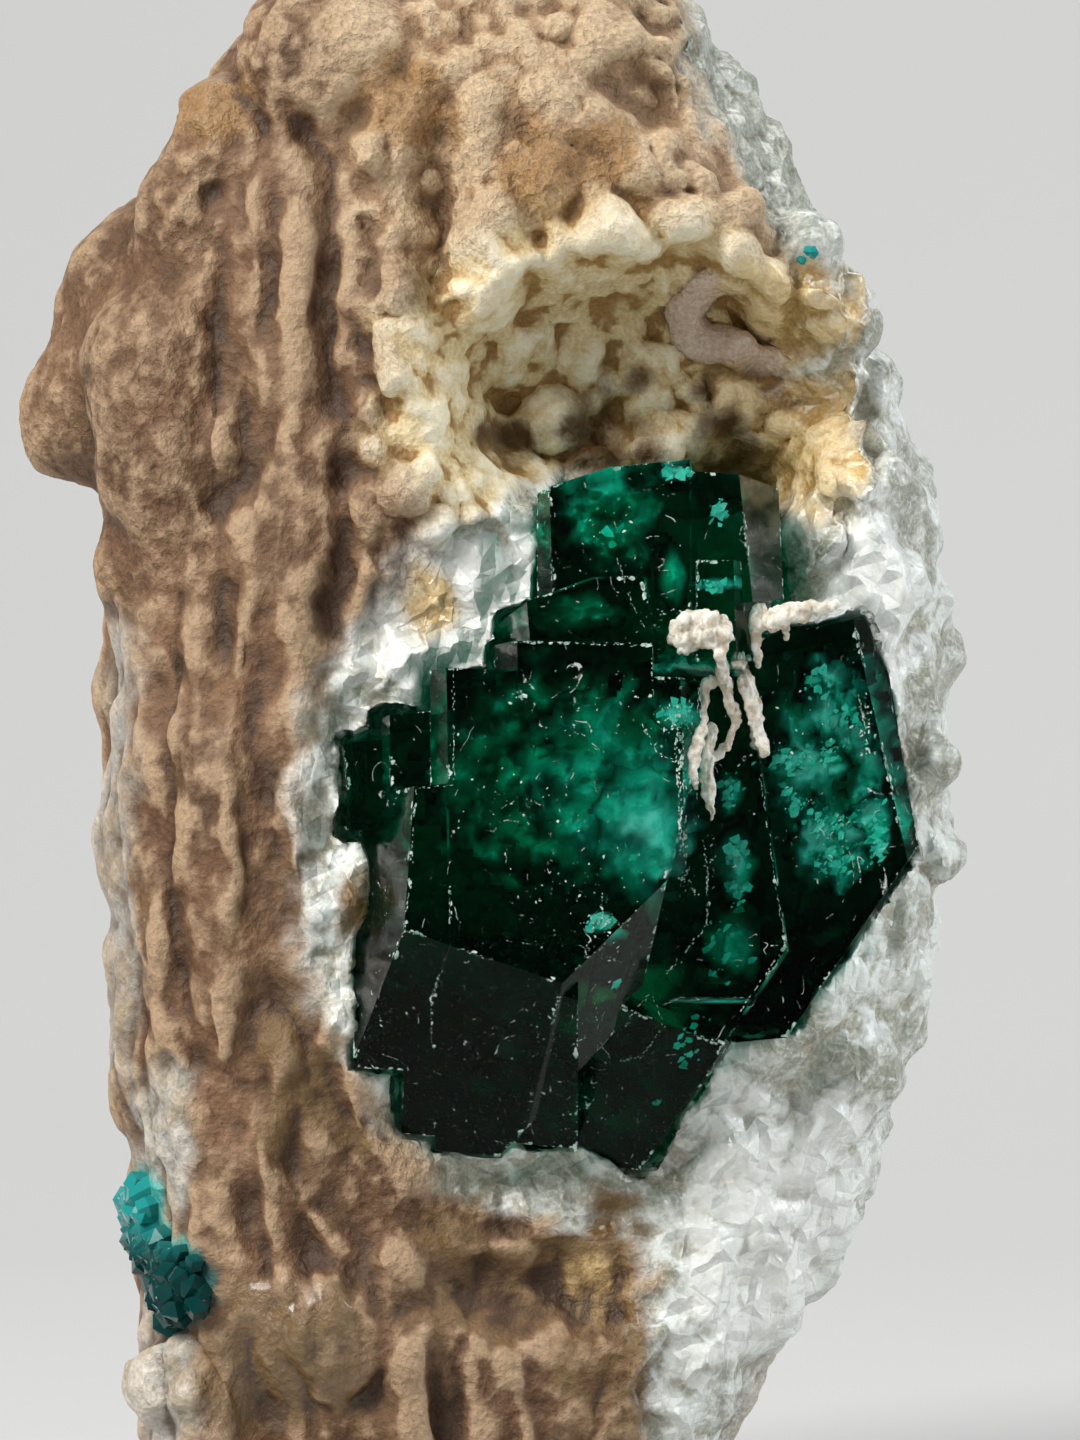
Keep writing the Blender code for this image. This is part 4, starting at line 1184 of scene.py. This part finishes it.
def flow_ridges(tree, bent, inputs):
    """Ridges that run down the crust, with narrow folds between them."""
    flow = relief_noise(tree, scaled(tree, bent, inputs["Ridge Spacing"], DOWNWARD), 1.5, 0.4)
    flow = maths(tree, "ABSOLUTE", minus(tree, flow, 0.5))
    flow = minus(tree, times(tree, flow, 4.4), 0.5)
    folds = relief_noise(tree, scaled(tree, bent, 1.5, DOWNWARD), 1.0)
    folds = maths(tree, "ABSOLUTE", minus(tree, folds, 0.5))
    flow = minus(tree, flow, times(tree, folds, 0.9))
    return times(tree, times(tree, flow, inputs["Ridge Height"]), stored(tree, "drape"))


def crust_lumps(tree, place, inputs):
    """Lumps of two sizes where the crust has no ridges, druse, melted knobs or quartz."""
    size, height = inputs["Lump Size"], inputs["Lump Height"]
    lumps = plus(tree, domes(tree, place, size, height),
                 domes(tree, place, maths(tree, "DIVIDE", size, 2.4),
                       maths(tree, "DIVIDE", height, 2.2)))
    calm = larger(tree, times(tree, stored(tree, "druse"), 0.85),
                  times(tree, stored(tree, "smooth"), 0.8))
    calm = larger(tree, times(tree, stored(tree, "drape"), 0.75), calm)
    lumpy = times(tree, minus(tree, 1.0, stored(tree, "quartz")), minus(tree, 1.0, calm))
    return times(tree, lumps, lumpy)


def broken_faces(tree, bent, inputs):
    """Breaks of two sizes on the quartz, and weaker ones on the hollow's lumps."""
    turned = add_node(tree, "ShaderNodeVectorRotate", {"Vector": bent, "Rotation": BREAK_TURN},
                      rotation_type="EULER_XYZ").outputs[0]
    size, height = inputs["Break Size"], inputs["Break Height"]
    broken = plus(tree, breaks(tree, turned, size, height),
                  breaks(tree, turned, maths(tree, "DIVIDE", size, 2.9),
                         maths(tree, "DIVIDE", height, 3.8)))
    share = larger(tree, stored(tree, "quartz"), times(tree, stored(tree, "cream"), 0.35))
    return times(tree, broken, share)


def relief_tree(settings, material):
    """Geometry nodes that raise lumps, flow ridges and broken faces along the normal."""
    tree, inputs, identifiers = new_tree("stone_relief", {
        "Lump Size": settings.lump_size, "Lump Height": settings.lump_height,
        "Ridge Spacing": settings.ridge_size, "Ridge Height": settings.ridge_height,
        "Break Size": settings.facet_size, "Break Height": settings.facet_height})
    place = add_node(tree, "GeometryNodeInputPosition").outputs[0]
    bend = relief_noise(tree, scaled(tree, place, 4.0), 2.0, output="Color")
    bent = vectors(tree, "ADD", place, vectors(tree, "SCALE", bend, scale=2.2))
    rough = minus(tree, relief_noise(tree, scaled(tree, place, 2.2), 4.0), 0.5)
    crust = plus(tree, flow_ridges(tree, bent, inputs), crust_lumps(tree, place, inputs))
    rest = plus(tree, broken_faces(tree, bent, inputs), times(tree, rough, 0.8))
    total = times(tree, plus(tree, crust, rest), minus(tree, 1.0, stored(tree, "covered")))
    normal = add_node(tree, "GeometryNodeInputNormal").outputs[0]
    melted = melt(tree, inputs["Geometry"], times(tree, stored(tree, "smooth"), 0.95),
                  MELT_PASSES)
    moved = add_node(tree, "GeometryNodeSetPosition",
                     {"Geometry": melted,
                      "Offset": vectors(tree, "SCALE", normal, scale=total)}).outputs[0]
    for name, passes, reach in (("height", 40, 0.45), ("crease", 6, 0.07)):
        moved = store_relief(tree, moved, name, passes, reach)
    end_tree(tree, moved, material)
    return tree, identifiers


def end_tree(tree, geometry, material):
    """Make a tree's result real, with its material, and put it out."""
    real = add_node(tree, "GeometryNodeRealizeInstances", {"Geometry": geometry}).outputs[0]
    dressed = add_node(tree, "GeometryNodeSetMaterial",
                       {"Geometry": real, "Material": material}).outputs[0]
    add_node(tree, "NodeGroupOutput", {"Geometry": dressed})


def run_nodes(thing, tree, identifiers):
    """Run a geometry nodes tree on an object and keep its result as a plain mesh."""
    modifier = thing.modifiers.new(tree.name, "NODES")
    modifier.node_group = tree
    for identifier, value in identifiers.items():
        modifier[identifier] = value
    apply_modifiers(thing)
    bpy.data.node_groups.remove(tree)


def cut_flat_base(mesh):
    """Cut the stone flat at the base and close the cut."""
    form = bmesh.new()
    form.from_mesh(mesh)
    everything = form.verts[:] + form.edges[:] + form.faces[:]
    bmesh.ops.bisect_plane(form, geom=everything, plane_co=(0.0, 0.0, 0.0),
                           plane_no=(0.0, 0.0, -1.0), clear_outer=True)
    rim = [edge for edge in form.edges if edge.is_boundary]
    bmesh.ops.triangle_fill(form, edges=rim, use_beauty=True)
    bmesh.ops.recalc_face_normals(form, faces=form.faces)
    form.to_mesh(mesh)
    form.free()


def search_tree(mesh, matrix):
    """Search tree of a mesh, taken to millimetres by a matrix."""
    points = [matrix @ vert.co for vert in mesh.vertices]
    return BVHTree.FromPolygons(points, [face.vertices[:] for face in mesh.polygons])


def root_share(points):
    """1 at the points that the large crystals cover and 0 away from them."""
    tree = search_tree(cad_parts["dioptase_cluster"].data, TO_MM)
    share = np.zeros(len(points))
    lowest = np.array(CLUSTER_CORNER) - SEARCH_MARGIN
    highest = lowest + SEARCH_BOX
    near = np.nonzero(((points > lowest) & (points < highest)).all(axis=1))[0]
    for index in near:
        place = Vector(points[index])
        distance = tree.find_nearest(place)[3]
        facing = tree.ray_cast(place, FRONTWARD)[1]
        signed = -distance if facing is not None and facing.y < 0.0 else distance
        share[index] = min(1.0, max(0.0, (ROOT_MARGIN - signed) / ROOT_FADE))
    return share


def teal_share(points):
    """1 where the small side crystals colour the stone around them."""
    x, y, z = points.T
    share = patches(x, z, SIDE_PATCHES, noise_at(points, 0.7, 3.0), 0.3, 1.5, 0.5)
    return share * smooth((1.0 - y) / 2.0)


def growth_share(points, table):
    """1 inside the patches of a table, on the stone's front, and 0 outside."""
    x, y, z = points.T
    return patches(x, z, table, np.zeros_like(x)) * smooth((1.0 - y) / 2.0)


def rough_stone(settings):
    """Body, knobs, lumps and ridges under one even skin."""
    lumps = knob_lumps() + small_lumps() + strand_lumps(RIDGES, RIDGE_RISE)
    lumps += strand_lumps(WORMS, WORM_RISE, True)
    stone = lumps_mesh("matrix_stone", lumps, 3, *stone_body())
    even_skin(stone, settings.voxel)
    soften = stone.modifiers.new("soften", "SMOOTH")
    soften.factor = 0.5
    soften.iterations = 3
    apply_modifiers(stone)
    return stone


def form_hollows(mesh):
    """Break the quartz flat, push in the hollows, and store what each point is made of."""
    points = get_points(mesh)
    moved = flatten_breaks(points)
    facing = np.clip(-points[:, 1] / HOLLOW_FADE, 0.0, 1.0)
    moved[:, 1] += hollow_push(points[:, 0], points[:, 2]) * facing
    moved += warp_at(points, WARP_SIZE, WARP_REACH)
    covered = root_share(moved)
    moved[:, 1] += covered * np.maximum(0.0, POCKET_DEPTH - moved[:, 1])
    set_points(mesh, moved)
    for name, share in stone_regions(points).items():
        set_attribute(mesh, name, share)
    set_attribute(mesh, "covered", covered)


def thin_out(thing, triangles):
    """Bring a mesh of four-sided faces down to about a number of triangles."""
    thin = thing.modifiers.new("fewer_faces", "DECIMATE")
    thin.ratio = min(1.0, triangles / (2.0 * len(thing.data.polygons)))
    apply_modifiers(thing)


def store_growth(mesh):
    """Store where the crystals cover the stone and where small crystals grow on it."""
    points = get_points(mesh)
    # Where the crystals cover the stone, for the painted shade under them
    set_attribute(mesh, "root", root_share(points))
    set_attribute(mesh, "teal", teal_share(points))
    set_attribute(mesh, "side", growth_share(points, SIDE_PATCHES))
    set_attribute(mesh, "speck", growth_share(points, SPECK))


class SPECIMEN_OT_stone(bpy.types.Operator):
    """Shape the crusted stone and give it its finish"""

    bl_idname = "specimen.stone"
    bl_label = "Matrix stone"

    def execute(self, context):
        settings = context.scene.specimen_stone
        stone = rough_stone(settings)
        form_hollows(stone.data)
        run_nodes(stone, *relief_tree(settings, stone_material(settings)))
        thin_out(stone, STONE_TRIANGLES)
        cut_flat_base(stone.data)
        store_growth(stone.data)
        stone.data.shade_smooth()
        set_on_frame(stone, "matrix_stone", "matrix")
        return {"FINISHED"}


def crystal_form(mesh):
    """A copy of the crystals in millimetres, merged, with whole flat faces."""
    form = bmesh.new()
    form.from_mesh(mesh)
    bmesh.ops.transform(form, verts=form.verts, matrix=TO_MM)
    bmesh.ops.remove_doubles(form, verts=form.verts, dist=MERGE_DISTANCE)
    bmesh.ops.dissolve_limit(form, angle_limit=FLAT_ANGLE, verts=form.verts, edges=form.edges)
    return form


def crystal_mesh(node, name, settings):
    """A crystal node in millimetres with fine worn edges."""
    thing = mesh_object(name, crystal_form(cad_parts[node].data))
    bevel = thing.modifiers.new("worn_edges", "BEVEL")
    bevel.width = settings.bevel
    bevel.segments = 2
    bevel.limit_method = "ANGLE"
    bevel.angle_limit = EDGE_ANGLE
    bevel.use_clamp_overlap = True
    apply_modifiers(thing)
    return thing


class SPECIMEN_OT_crystals(bpy.types.Operator):
    """Finish the large green crystals"""

    bl_idname = "specimen.crystals"
    bl_label = "Large crystals"

    def execute(self, context):
        settings = context.scene.specimen_crystals
        thing = crystal_mesh("dioptase_cluster", "large_crystals", settings)
        thing.data.materials.append(crystal_material("dioptase_green", settings, settings.tint,
                                                     settings.density))
        set_on_frame(thing, "dioptase", "dioptase_cluster")
        return {"FINISHED"}


def add_card(form, centre, across, up, rng, sides=5):
    """An irregular flat flake whose reach is given by two vectors."""
    corners = []
    for k in range(sides):
        turn = 2.0 * math.pi * (k + rng.uniform(-0.3, 0.3)) / sides
        reach = rng.uniform(0.45, 1.0)
        corners.append(form.verts.new(centre + across * math.cos(turn) * reach
                                      + up * math.sin(turn) * reach))
    form.faces.new(corners)


def front_hit(tree, x, z):
    """Where a line of sight from the front meets the surface, and the surface's normal there."""
    hit, normal, _, _ = tree.ray_cast(Vector((x, -60.0, z)), Vector((0.0, 1.0, 0.0)))
    return hit, normal


def add_mark(form, tree, x, z, along, half, rng):
    """A flake on the crystals' front, along a direction of the front view."""
    hit, normal = front_hit(tree, x, z)
    if hit is None:
        return
    line = Vector((along[0], 0.0, along[1]))
    line = (line - normal * line.dot(normal)).normalized()
    across = normal.cross(line)
    add_card(form, hit + normal * MARK_LIFT, line * half[0], across * half[1], rng)


def add_scratches(form, tree, rng):
    """Broken lines of flakes along each scratch."""
    for width, *line in SCRATCHES:
        for (x0, z0), (x1, z1) in zip(line, line[1:]):
            length = math.hypot(x1 - x0, z1 - z0)
            steps = int(length / SCRATCH_STEP) + 1
            for k in range(steps):
                share = (k + rng.uniform(-0.3, 0.3)) / steps
                run = noise.noise(Vector(((x0 + share * (x1 - x0)) * 1.3, 4.0,
                                          (z0 + share * (z1 - z0)) * 1.3)))
                if rng.random() < 0.4 - run:
                    continue
                x = x0 + (x1 - x0) * share + rng.gauss(0.0, SCRATCH_SPREAD)
                z = z0 + (z1 - z0) * share + rng.gauss(0.0, SCRATCH_SPREAD)
                add_mark(form, tree, x, z, (x1 - x0, z1 - z0),
                         (rng.uniform(0.04, 0.11), width * rng.uniform(0.25, 0.8)), rng)


def add_chip_clouds(form, tree, rng):
    """Specks scattered thickest about the middle of each patch."""
    for x, z, half_width, half_height, count in CHIP_CLOUDS:
        for _ in range(count):
            turn = rng.uniform(0.0, math.tau)
            size = 0.012 + 0.05 * rng.random() ** 4
            add_mark(form, tree, x + rng.gauss(0.0, 0.5) * half_width,
                     z + rng.gauss(0.0, 0.5) * half_height, (math.cos(turn), math.sin(turn)),
                     (size * rng.uniform(1.0, 2.4), size), rng)
    (x0, z0), (x1, z1), half = CHIP_BAND
    for _ in range(BAND_CHIPS):
        share = rng.random()
        size = rng.uniform(0.015, 0.06)
        add_mark(form, tree, x0 + (x1 - x0) * share + rng.uniform(-half, half),
                 z0 + (z1 - z0) * share, (x1 - x0, z1 - z0), (size * 1.8, size), rng)


def add_edge_chips(form, mesh, rng):
    """Small pale breaks in patches along the crystals' convex edges."""
    body = crystal_form(mesh)
    for edge in body.edges:
        if not edge.is_manifold or edge.calc_face_angle_signed() < EDGE_ANGLE:
            continue
        start, end = (vert.co for vert in edge.verts)
        direction = (end - start).normalized()
        steps = int((end - start).length / CHIP_STEP)
        for k in range(steps):
            place = start.lerp(end, (k + 0.5) / steps)
            if noise.noise(place * 0.7) + 0.35 * noise.noise(place * 3.0) < 0.12 or place.y > -4.0:
                continue
            for face in edge.link_faces:
                if rng.random() < 0.45:
                    continue
                inward = face.normal.cross(direction)
                if inward.dot(face.calc_center_median() - place) < 0.0:
                    inward = -inward
                size = 0.02 + 0.09 * rng.random() ** 3
                add_card(form, place + inward * size * 0.8 + face.normal * MARK_LIFT,
                         direction * size * rng.uniform(1.0, 2.2), inward * size, rng)
    body.free()


def add_veils(form, tree, rng):
    """Wavy sheets that lie deeper towards their edges and are painted with shade there, so that
    they fade out there.
    """
    shade = form.verts.layers.float.new("shade")
    for x, z, half_width, half_height, depth, fall, wave in VEILS:
        middle, _ = front_hit(tree, x, z)
        if middle is None:
            continue
        seed = rng.uniform(0.0, 50.0)
        grid = {}
        for i in range(VEIL_STEPS + 1):
            for k in range(VEIL_STEPS + 1):
                u = 2.0 * i / VEIL_STEPS - 1.0
                v = 2.0 * k / VEIL_STEPS - 1.0
                spot = Vector((x + u * half_width, seed, z + v * half_height))
                radius = math.hypot(u, v)
                ragged = radius + 0.45 * noise.noise(spot * 1.6)
                if ragged > 1.0:
                    continue
                hit, _ = front_hit(tree, spot.x, spot.z)
                if hit is None:
                    continue
                wander = noise.noise(spot * 1.1) + 0.6 * noise.noise(spot * 2.7)
                wander += 0.25 * noise.noise(spot * 6.0)
                y = middle.y + depth + fall * radius * radius + wave * wander
                y = min(max(y, hit.y + 0.3), BACK_OF_VEILS)
                vert = form.verts.new((spot.x, y, spot.z))
                glow = 0.75 + 0.5 * noise.noise(spot * 0.8) + 0.3 * noise.noise(spot * 2.0)
                vert[shade] = 1.0 - min(1.0, glow) * smooth(1.6 * (1.0 - ragged))
                grid[i, k] = vert
        for i, k in grid:
            corners = [(i, k), (i + 1, k), (i + 1, k + 1), (i, k + 1)]
            if all(corner in grid for corner in corners):
                form.faces.new([grid[corner] for corner in corners])


def add_swarms(form, tree, rng):
    """Small bright flakes, thickest about the middle of each swarm."""
    for x, z, half_width, half_height, least, greatest, count in SWARMS:
        for _ in range(count):
            place_x = x + rng.gauss(0.0, 0.5) * half_width
            place_z = z + rng.gauss(0.0, 0.5) * half_height
            hit, _ = front_hit(tree, place_x, place_z)
            if hit is None:
                continue
            depth = least + (greatest - least) * rng.random()
            tilt = Vector((rng.gauss(0.0, 0.5), -1.0, rng.gauss(0.3, 0.5))).normalized()
            across = tilt.orthogonal().normalized()
            size = 0.05 + 0.3 * rng.random() ** 2
            add_card(form, hit + Vector((0.0, depth, 0.0)), across * size,
                     tilt.cross(across) * size * rng.uniform(0.4, 1.0), rng)


def marks_material():
    """Bruised crystal along chips and scratches."""
    material, tree, shader, place = new_material("chipped_edges")
    tone = noise_texture(tree, place, 0.3, 2.0)
    colour = mix_colour(tree, ramp(tree, tone, 0.35, 0.65), (0.14, 0.30, 0.24),
                        (0.55, 0.68, 0.60))
    tree.links.new(colour, shader.inputs["Base Color"])
    shader.inputs["Roughness"].default_value = 0.5
    return material


class SPECIMEN_OT_marks(bpy.types.Operator):
    """Add the chips and scratches on the crystals and the milky sheets inside them"""

    bl_idname = "specimen.marks"
    bl_label = "Chips and veils"

    def execute(self, context):
        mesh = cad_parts["dioptase_cluster"].data
        tree = search_tree(mesh, TO_MM)
        rng = random.Random(SEED)
        form = bmesh.new()
        add_scratches(form, tree, rng)
        add_chip_clouds(form, tree, rng)
        add_edge_chips(form, mesh, rng)
        marks = mesh_object("crystal_chips", form, [marks_material()])
        set_on_frame(marks, "dioptase")
        form = bmesh.new()
        add_veils(form, tree, rng)
        add_swarms(form, tree, rng)
        veils = mesh_object("crystal_veils", form, [veil_material()])
        veils.data.shade_smooth()
        set_on_frame(veils, "dioptase")
        return {"FINISHED"}


def strand_path(strand):
    """Close places along a strand, each with its radius."""
    path = []
    for (x0, z0, r0), (x1, z1, r1) in zip(strand, strand[1:]):
        steps = max(2, int(math.hypot(x1 - x0, z1 - z0) / CRUST_STEP))
        for k in range(steps):
            share = k / steps
            path.append((x0 + (x1 - x0) * share, z0 + (z1 - z0) * share, r0 + (r1 - r0) * share))
    return path


def strand_balls(strands, tree):
    """Small balls along the strands, laid on the crystals below them."""
    rng = random.Random(SEED)
    lumps = []
    for strand in strands:
        path = strand_path(strand)
        hits = [front_hit(tree, x, z)[0] for x, z, radius in path]
        depths = [hit.y if hit else -10.0 for hit in hits]
        for k, (x, z, radius) in enumerate(path):
            near = depths[max(0, k - 6):k + 7]
            y = sum(near) / len(near) * 0.6 + min(near) * 0.4
            radius *= CRUST_GROWTH
            size = radius * rng.uniform(0.6, 0.9)
            spread = radius * 0.35
            lumps.append((Vector((x + rng.uniform(-spread, spread), y - 0.25 * radius
                                  + rng.uniform(-spread, spread) * 0.6,
                                  z + rng.uniform(-spread, spread))),
                          size, FRONTWARD, 0.9))
    return lumps


def crust_piece(name, node, strands, tree, material):
    """One crust as an even skin around its strands, roughened along its normals."""
    thing = lumps_mesh(name, strand_balls(strands, tree), 2)
    even_skin(thing, CRUST_VOXEL)
    apply_modifiers(thing)
    points = get_points(thing.data)
    stretched = points * (1.0, 1.0, 0.35)
    rise = 0.07 * noise_at(stretched, 0.14) + 0.08 * noise_at(points, 0.35, 5.0)
    set_points(thing.data, points + get_normals(thing.data) * rise[:, None])
    thing.data.materials.append(material)
    thing.data.shade_smooth()
    set_on_frame(thing, "cream_crust", node)


class SPECIMEN_OT_crust(bpy.types.Operator):
    """Lay the cream crusts over the crystals"""

    bl_idname = "specimen.crust"
    bl_label = "Cream crusts"

    def execute(self, context):
        tree = search_tree(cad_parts["dioptase_cluster"].data, TO_MM)
        material = cream_material()
        crust_piece("cream_strands", "crust_strands", CRUST, tree, material)
        crust_piece("cream_corner", "crust_corner", CORNER_CRUST, tree, material)
        return {"FINISHED"}


def small_crystal():
    """A short six-sided crystal of unit width with a three-faced point."""
    form = bmesh.new()
    rings = []
    for k in range(6):
        angle = math.tau * k / 6.0
        x, y = 0.5 * math.cos(angle), 0.5 * math.sin(angle)
        rings.append((form.verts.new((x, y, -0.5)),
                      form.verts.new((x, y, 0.5 if k % 2 else 0.64))))
    tip = form.verts.new((0.0, 0.0, 0.88))
    for k in range(6):
        low, high = rings[k]
        next_low, next_high = rings[(k + 1) % 6]
        form.faces.new((low, next_low, next_high, high))
        form.faces.new((high, next_high, tip))
    form.faces.new([low for low, _ in reversed(rings)])
    return mesh_object("small_crystal", form)


def druse_tree(template, material, share, sizes, count):
    """Geometry nodes that grow crystals on the faces where an attribute has its share."""
    tree, inputs, identifiers = new_tree("druse", {
        "Least Size": sizes[0], "Greatest Size": sizes[1], "Crystals To A Square": count})
    density = times(tree, stored(tree, share), inputs["Crystals To A Square"])
    spread = add_node(tree, "GeometryNodeDistributePointsOnFaces",
                      {"Mesh": inputs["Geometry"], "Seed": SEED, "Density": density})
    lean = add_node(tree, "FunctionNodeRandomValue",
                    {0: (-LEAN, -LEAN, 0.0), 1: (LEAN, LEAN, math.tau), "Seed": SEED + 1},
                    data_type="FLOAT_VECTOR").outputs[0]
    turn = add_node(tree, "FunctionNodeRotateRotation",
                    {"Rotation": spread.outputs["Rotation"], "Rotate By": lean},
                    rotation_space="LOCAL").outputs[0]
    size = add_node(tree, "FunctionNodeRandomValue",
                    {2: inputs["Least Size"], 3: inputs["Greatest Size"], "Seed": SEED + 2},
                    data_type="FLOAT").outputs[1]
    shape = add_node(tree, "GeometryNodeObjectInfo", {"Object": template}).outputs["Geometry"]
    grown = add_node(tree, "GeometryNodeInstanceOnPoints",
                     {"Points": spread.outputs["Points"], "Instance": shape, "Rotation": turn,
                      "Scale": size}).outputs[0]
    end_tree(tree, grown, material)
    return tree, identifiers


def grow_druse(name, stone, material, share, sizes, count):
    """Small crystals on the stone's faces as a piece of their own."""
    template = small_crystal()
    ground = new_object(name, stone.data.copy())
    ground.data.transform(TO_MM)
    ground.data.materials.clear()
    run_nodes(ground, *druse_tree(template, material, share, sizes, count))
    bpy.data.objects.remove(template)
    if not ground.data.polygons:
        raise RuntimeError(f"no crystal grew on {name}")
    return ground


class SPECIMEN_OT_side(bpy.types.Operator):
    """Grow the small teal crystals at the lower left and the speck on the right rim"""

    bl_idname = "specimen.side"
    bl_label = "Small crystals"

    def execute(self, context):
        settings = context.scene.specimen_crystals
        stone = bpy.data.objects["matrix_stone"]
        material = crystal_material("dioptase_teal", settings, (0.25, 0.93, 0.90), 300.0,
                                    (0.004, 0.06, 0.058), 0.3)
        side = grow_druse("teal_crystals", stone, material, "side", (0.5, 1.15), 13.0)
        set_on_frame(side, "dioptase_teal", "side_crystals")
        speck = grow_druse("rim_speck", stone, material, "speck", (0.3, 0.42), 24.0)
        set_on_frame(speck, "dioptase_teal")
        return {"FINISHED"}


class SPECIMEN_OT_stage(bpy.types.Operator):
    """Set up the floor, the soft lights and the camera"""

    bl_idname = "specimen.stage"
    bl_label = "Studio"

    def execute(self, context):
        settings = context.scene.specimen_studio
        make_backdrop(settings)
        make_world(settings)
        make_lights(settings)
        make_camera(settings)
        return {"FINISHED"}


def make_backdrop(settings):
    """A floor that bends up into a backdrop behind the object."""
    profile = [(BACKDROP_FRONT, 0.0), (BACKDROP_BACK - BACKDROP_BEND, 0.0)]
    for k in range(1, BEND_STEPS + 1):
        turn = math.pi / 2.0 * k / BEND_STEPS
        profile.append((BACKDROP_BACK - BACKDROP_BEND + BACKDROP_BEND * math.sin(turn),
                        BACKDROP_BEND * (1.0 - math.cos(turn))))
    profile.append((BACKDROP_BACK, BACKDROP_TOP))
    form = bmesh.new()
    row = [form.verts.new((-BACKDROP_HALF_WIDTH, y, z)) for y, z in profile]
    edges = [form.edges.new(pair) for pair in zip(row, row[1:])]
    swept = bmesh.ops.extrude_edge_only(form, edges=edges)["geom"]
    moved = [item for item in swept if isinstance(item, bmesh.types.BMVert)]
    bmesh.ops.translate(form, verts=moved, vec=(2.0 * BACKDROP_HALF_WIDTH, 0.0, 0.0))
    bmesh.ops.recalc_face_normals(form, faces=form.faces)
    backdrop = mesh_object("studio_floor", form, [floor_material(settings)])
    backdrop.data.shade_smooth()


def make_world(settings):
    """Even light from all around."""
    world = bpy.data.worlds.new("studio_world")
    world.use_nodes = True
    sky = world.node_tree.nodes["Background"]
    sky.inputs["Color"].default_value = (0.95, 0.97, 1.0, 1.0)
    sky.inputs["Strength"].default_value = settings.world
    bpy.context.scene.world = world


def add_light(name, place, size, power, colour):
    """A square soft light that looks at the crystals."""
    lamp = bpy.data.lights.new(name, "AREA")
    lamp.shape = "RECTANGLE"
    lamp.size, lamp.size_y = size
    lamp.energy = power
    lamp.color = colour
    made = new_object(name, lamp)
    made.location = place
    aim = Vector((0.0, 0.0, 0.03)) - Vector(place)
    made.rotation_euler = aim.to_track_quat("-Z", "Y").to_euler()


def make_lights(settings):
    """A key light from the left, a weaker one at the right and one from behind."""
    add_light("key_light", (-0.30, -0.27, 0.36), (0.26, 0.26), settings.key, (1.0, 0.98, 0.95))
    add_light("right_light", (0.42, -0.06, 0.26), (0.14, 0.3), settings.key * 0.42,
              (0.93, 0.97, 1.0))
    add_light("back_light", (0.10, 0.22, 0.42), (0.4, 0.16), settings.key * 0.3, (1.0, 1.0, 1.0))


def make_camera(settings):
    """A camera straight in front, whose picture is the photograph's at the crystals."""
    lens = bpy.data.cameras.new("photo_camera")
    lens.lens = settings.lens
    lens.sensor_width = 36.0
    made = new_object("photo_camera", lens)
    distance = PHOTO_HEIGHT * settings.lens / lens.sensor_width
    place = PHOTO_MIDDLE + Vector((0.0, -distance, 0.0))
    made.location = place * MM + SHIFT
    made.rotation_euler = (math.pi / 2.0, 0.0, 0.0)
    lens.clip_start = 0.01
    lens.clip_end = 5.0
    bpy.context.scene.camera = made
    bpy.context.scene.view_settings.view_transform = "Standard"


class SPECIMEN_PT_panel(bpy.types.Panel):
    """Lists the specimen's pieces"""

    bl_label = "Dioptase specimen"
    bl_idname = "SPECIMEN_PT_panel"
    bl_space_type = "VIEW_3D"
    bl_region_type = "UI"
    bl_category = "Specimen"

    def draw(self, context):
        for operator in OPERATORS:
            self.layout.operator(operator.bl_idname)
        for group in SETTINGS:
            box = self.layout.box()
            settings = getattr(context.scene, group)
            for name in settings.bl_rna.properties.keys():
                if name not in {"name", "rna_type"}:
                    box.prop(settings, name)


OPERATORS = (SPECIMEN_OT_stage, SPECIMEN_OT_stone, SPECIMEN_OT_crystals, SPECIMEN_OT_marks,
             SPECIMEN_OT_crust, SPECIMEN_OT_side)
SETTINGS = {
    "specimen_stone": StoneSettings,
    "specimen_crystals": CrystalSettings,
    "specimen_studio": StudioSettings,
}


def register():
    for group in SETTINGS.values():
        bpy.utils.register_class(group)
    for operator in OPERATORS:
        bpy.utils.register_class(operator)
    bpy.utils.register_class(SPECIMEN_PT_panel)
    for name, group in SETTINGS.items():
        setattr(bpy.types.Scene, name, PointerProperty(type=group))


def unregister():
    for name in SETTINGS:
        delattr(bpy.types.Scene, name)
    bpy.utils.unregister_class(SPECIMEN_PT_panel)
    for operator in reversed(OPERATORS):
        bpy.utils.unregister_class(operator)
    for group in SETTINGS.values():
        bpy.utils.unregister_class(group)


def main():
    register()
    bpy.ops.specimen.stage()
    bpy.ops.specimen.stone()
    bpy.ops.specimen.crystals()
    bpy.ops.specimen.marks()
    bpy.ops.specimen.crust()
    bpy.ops.specimen.side()


if __name__ == "__main__":
    main()
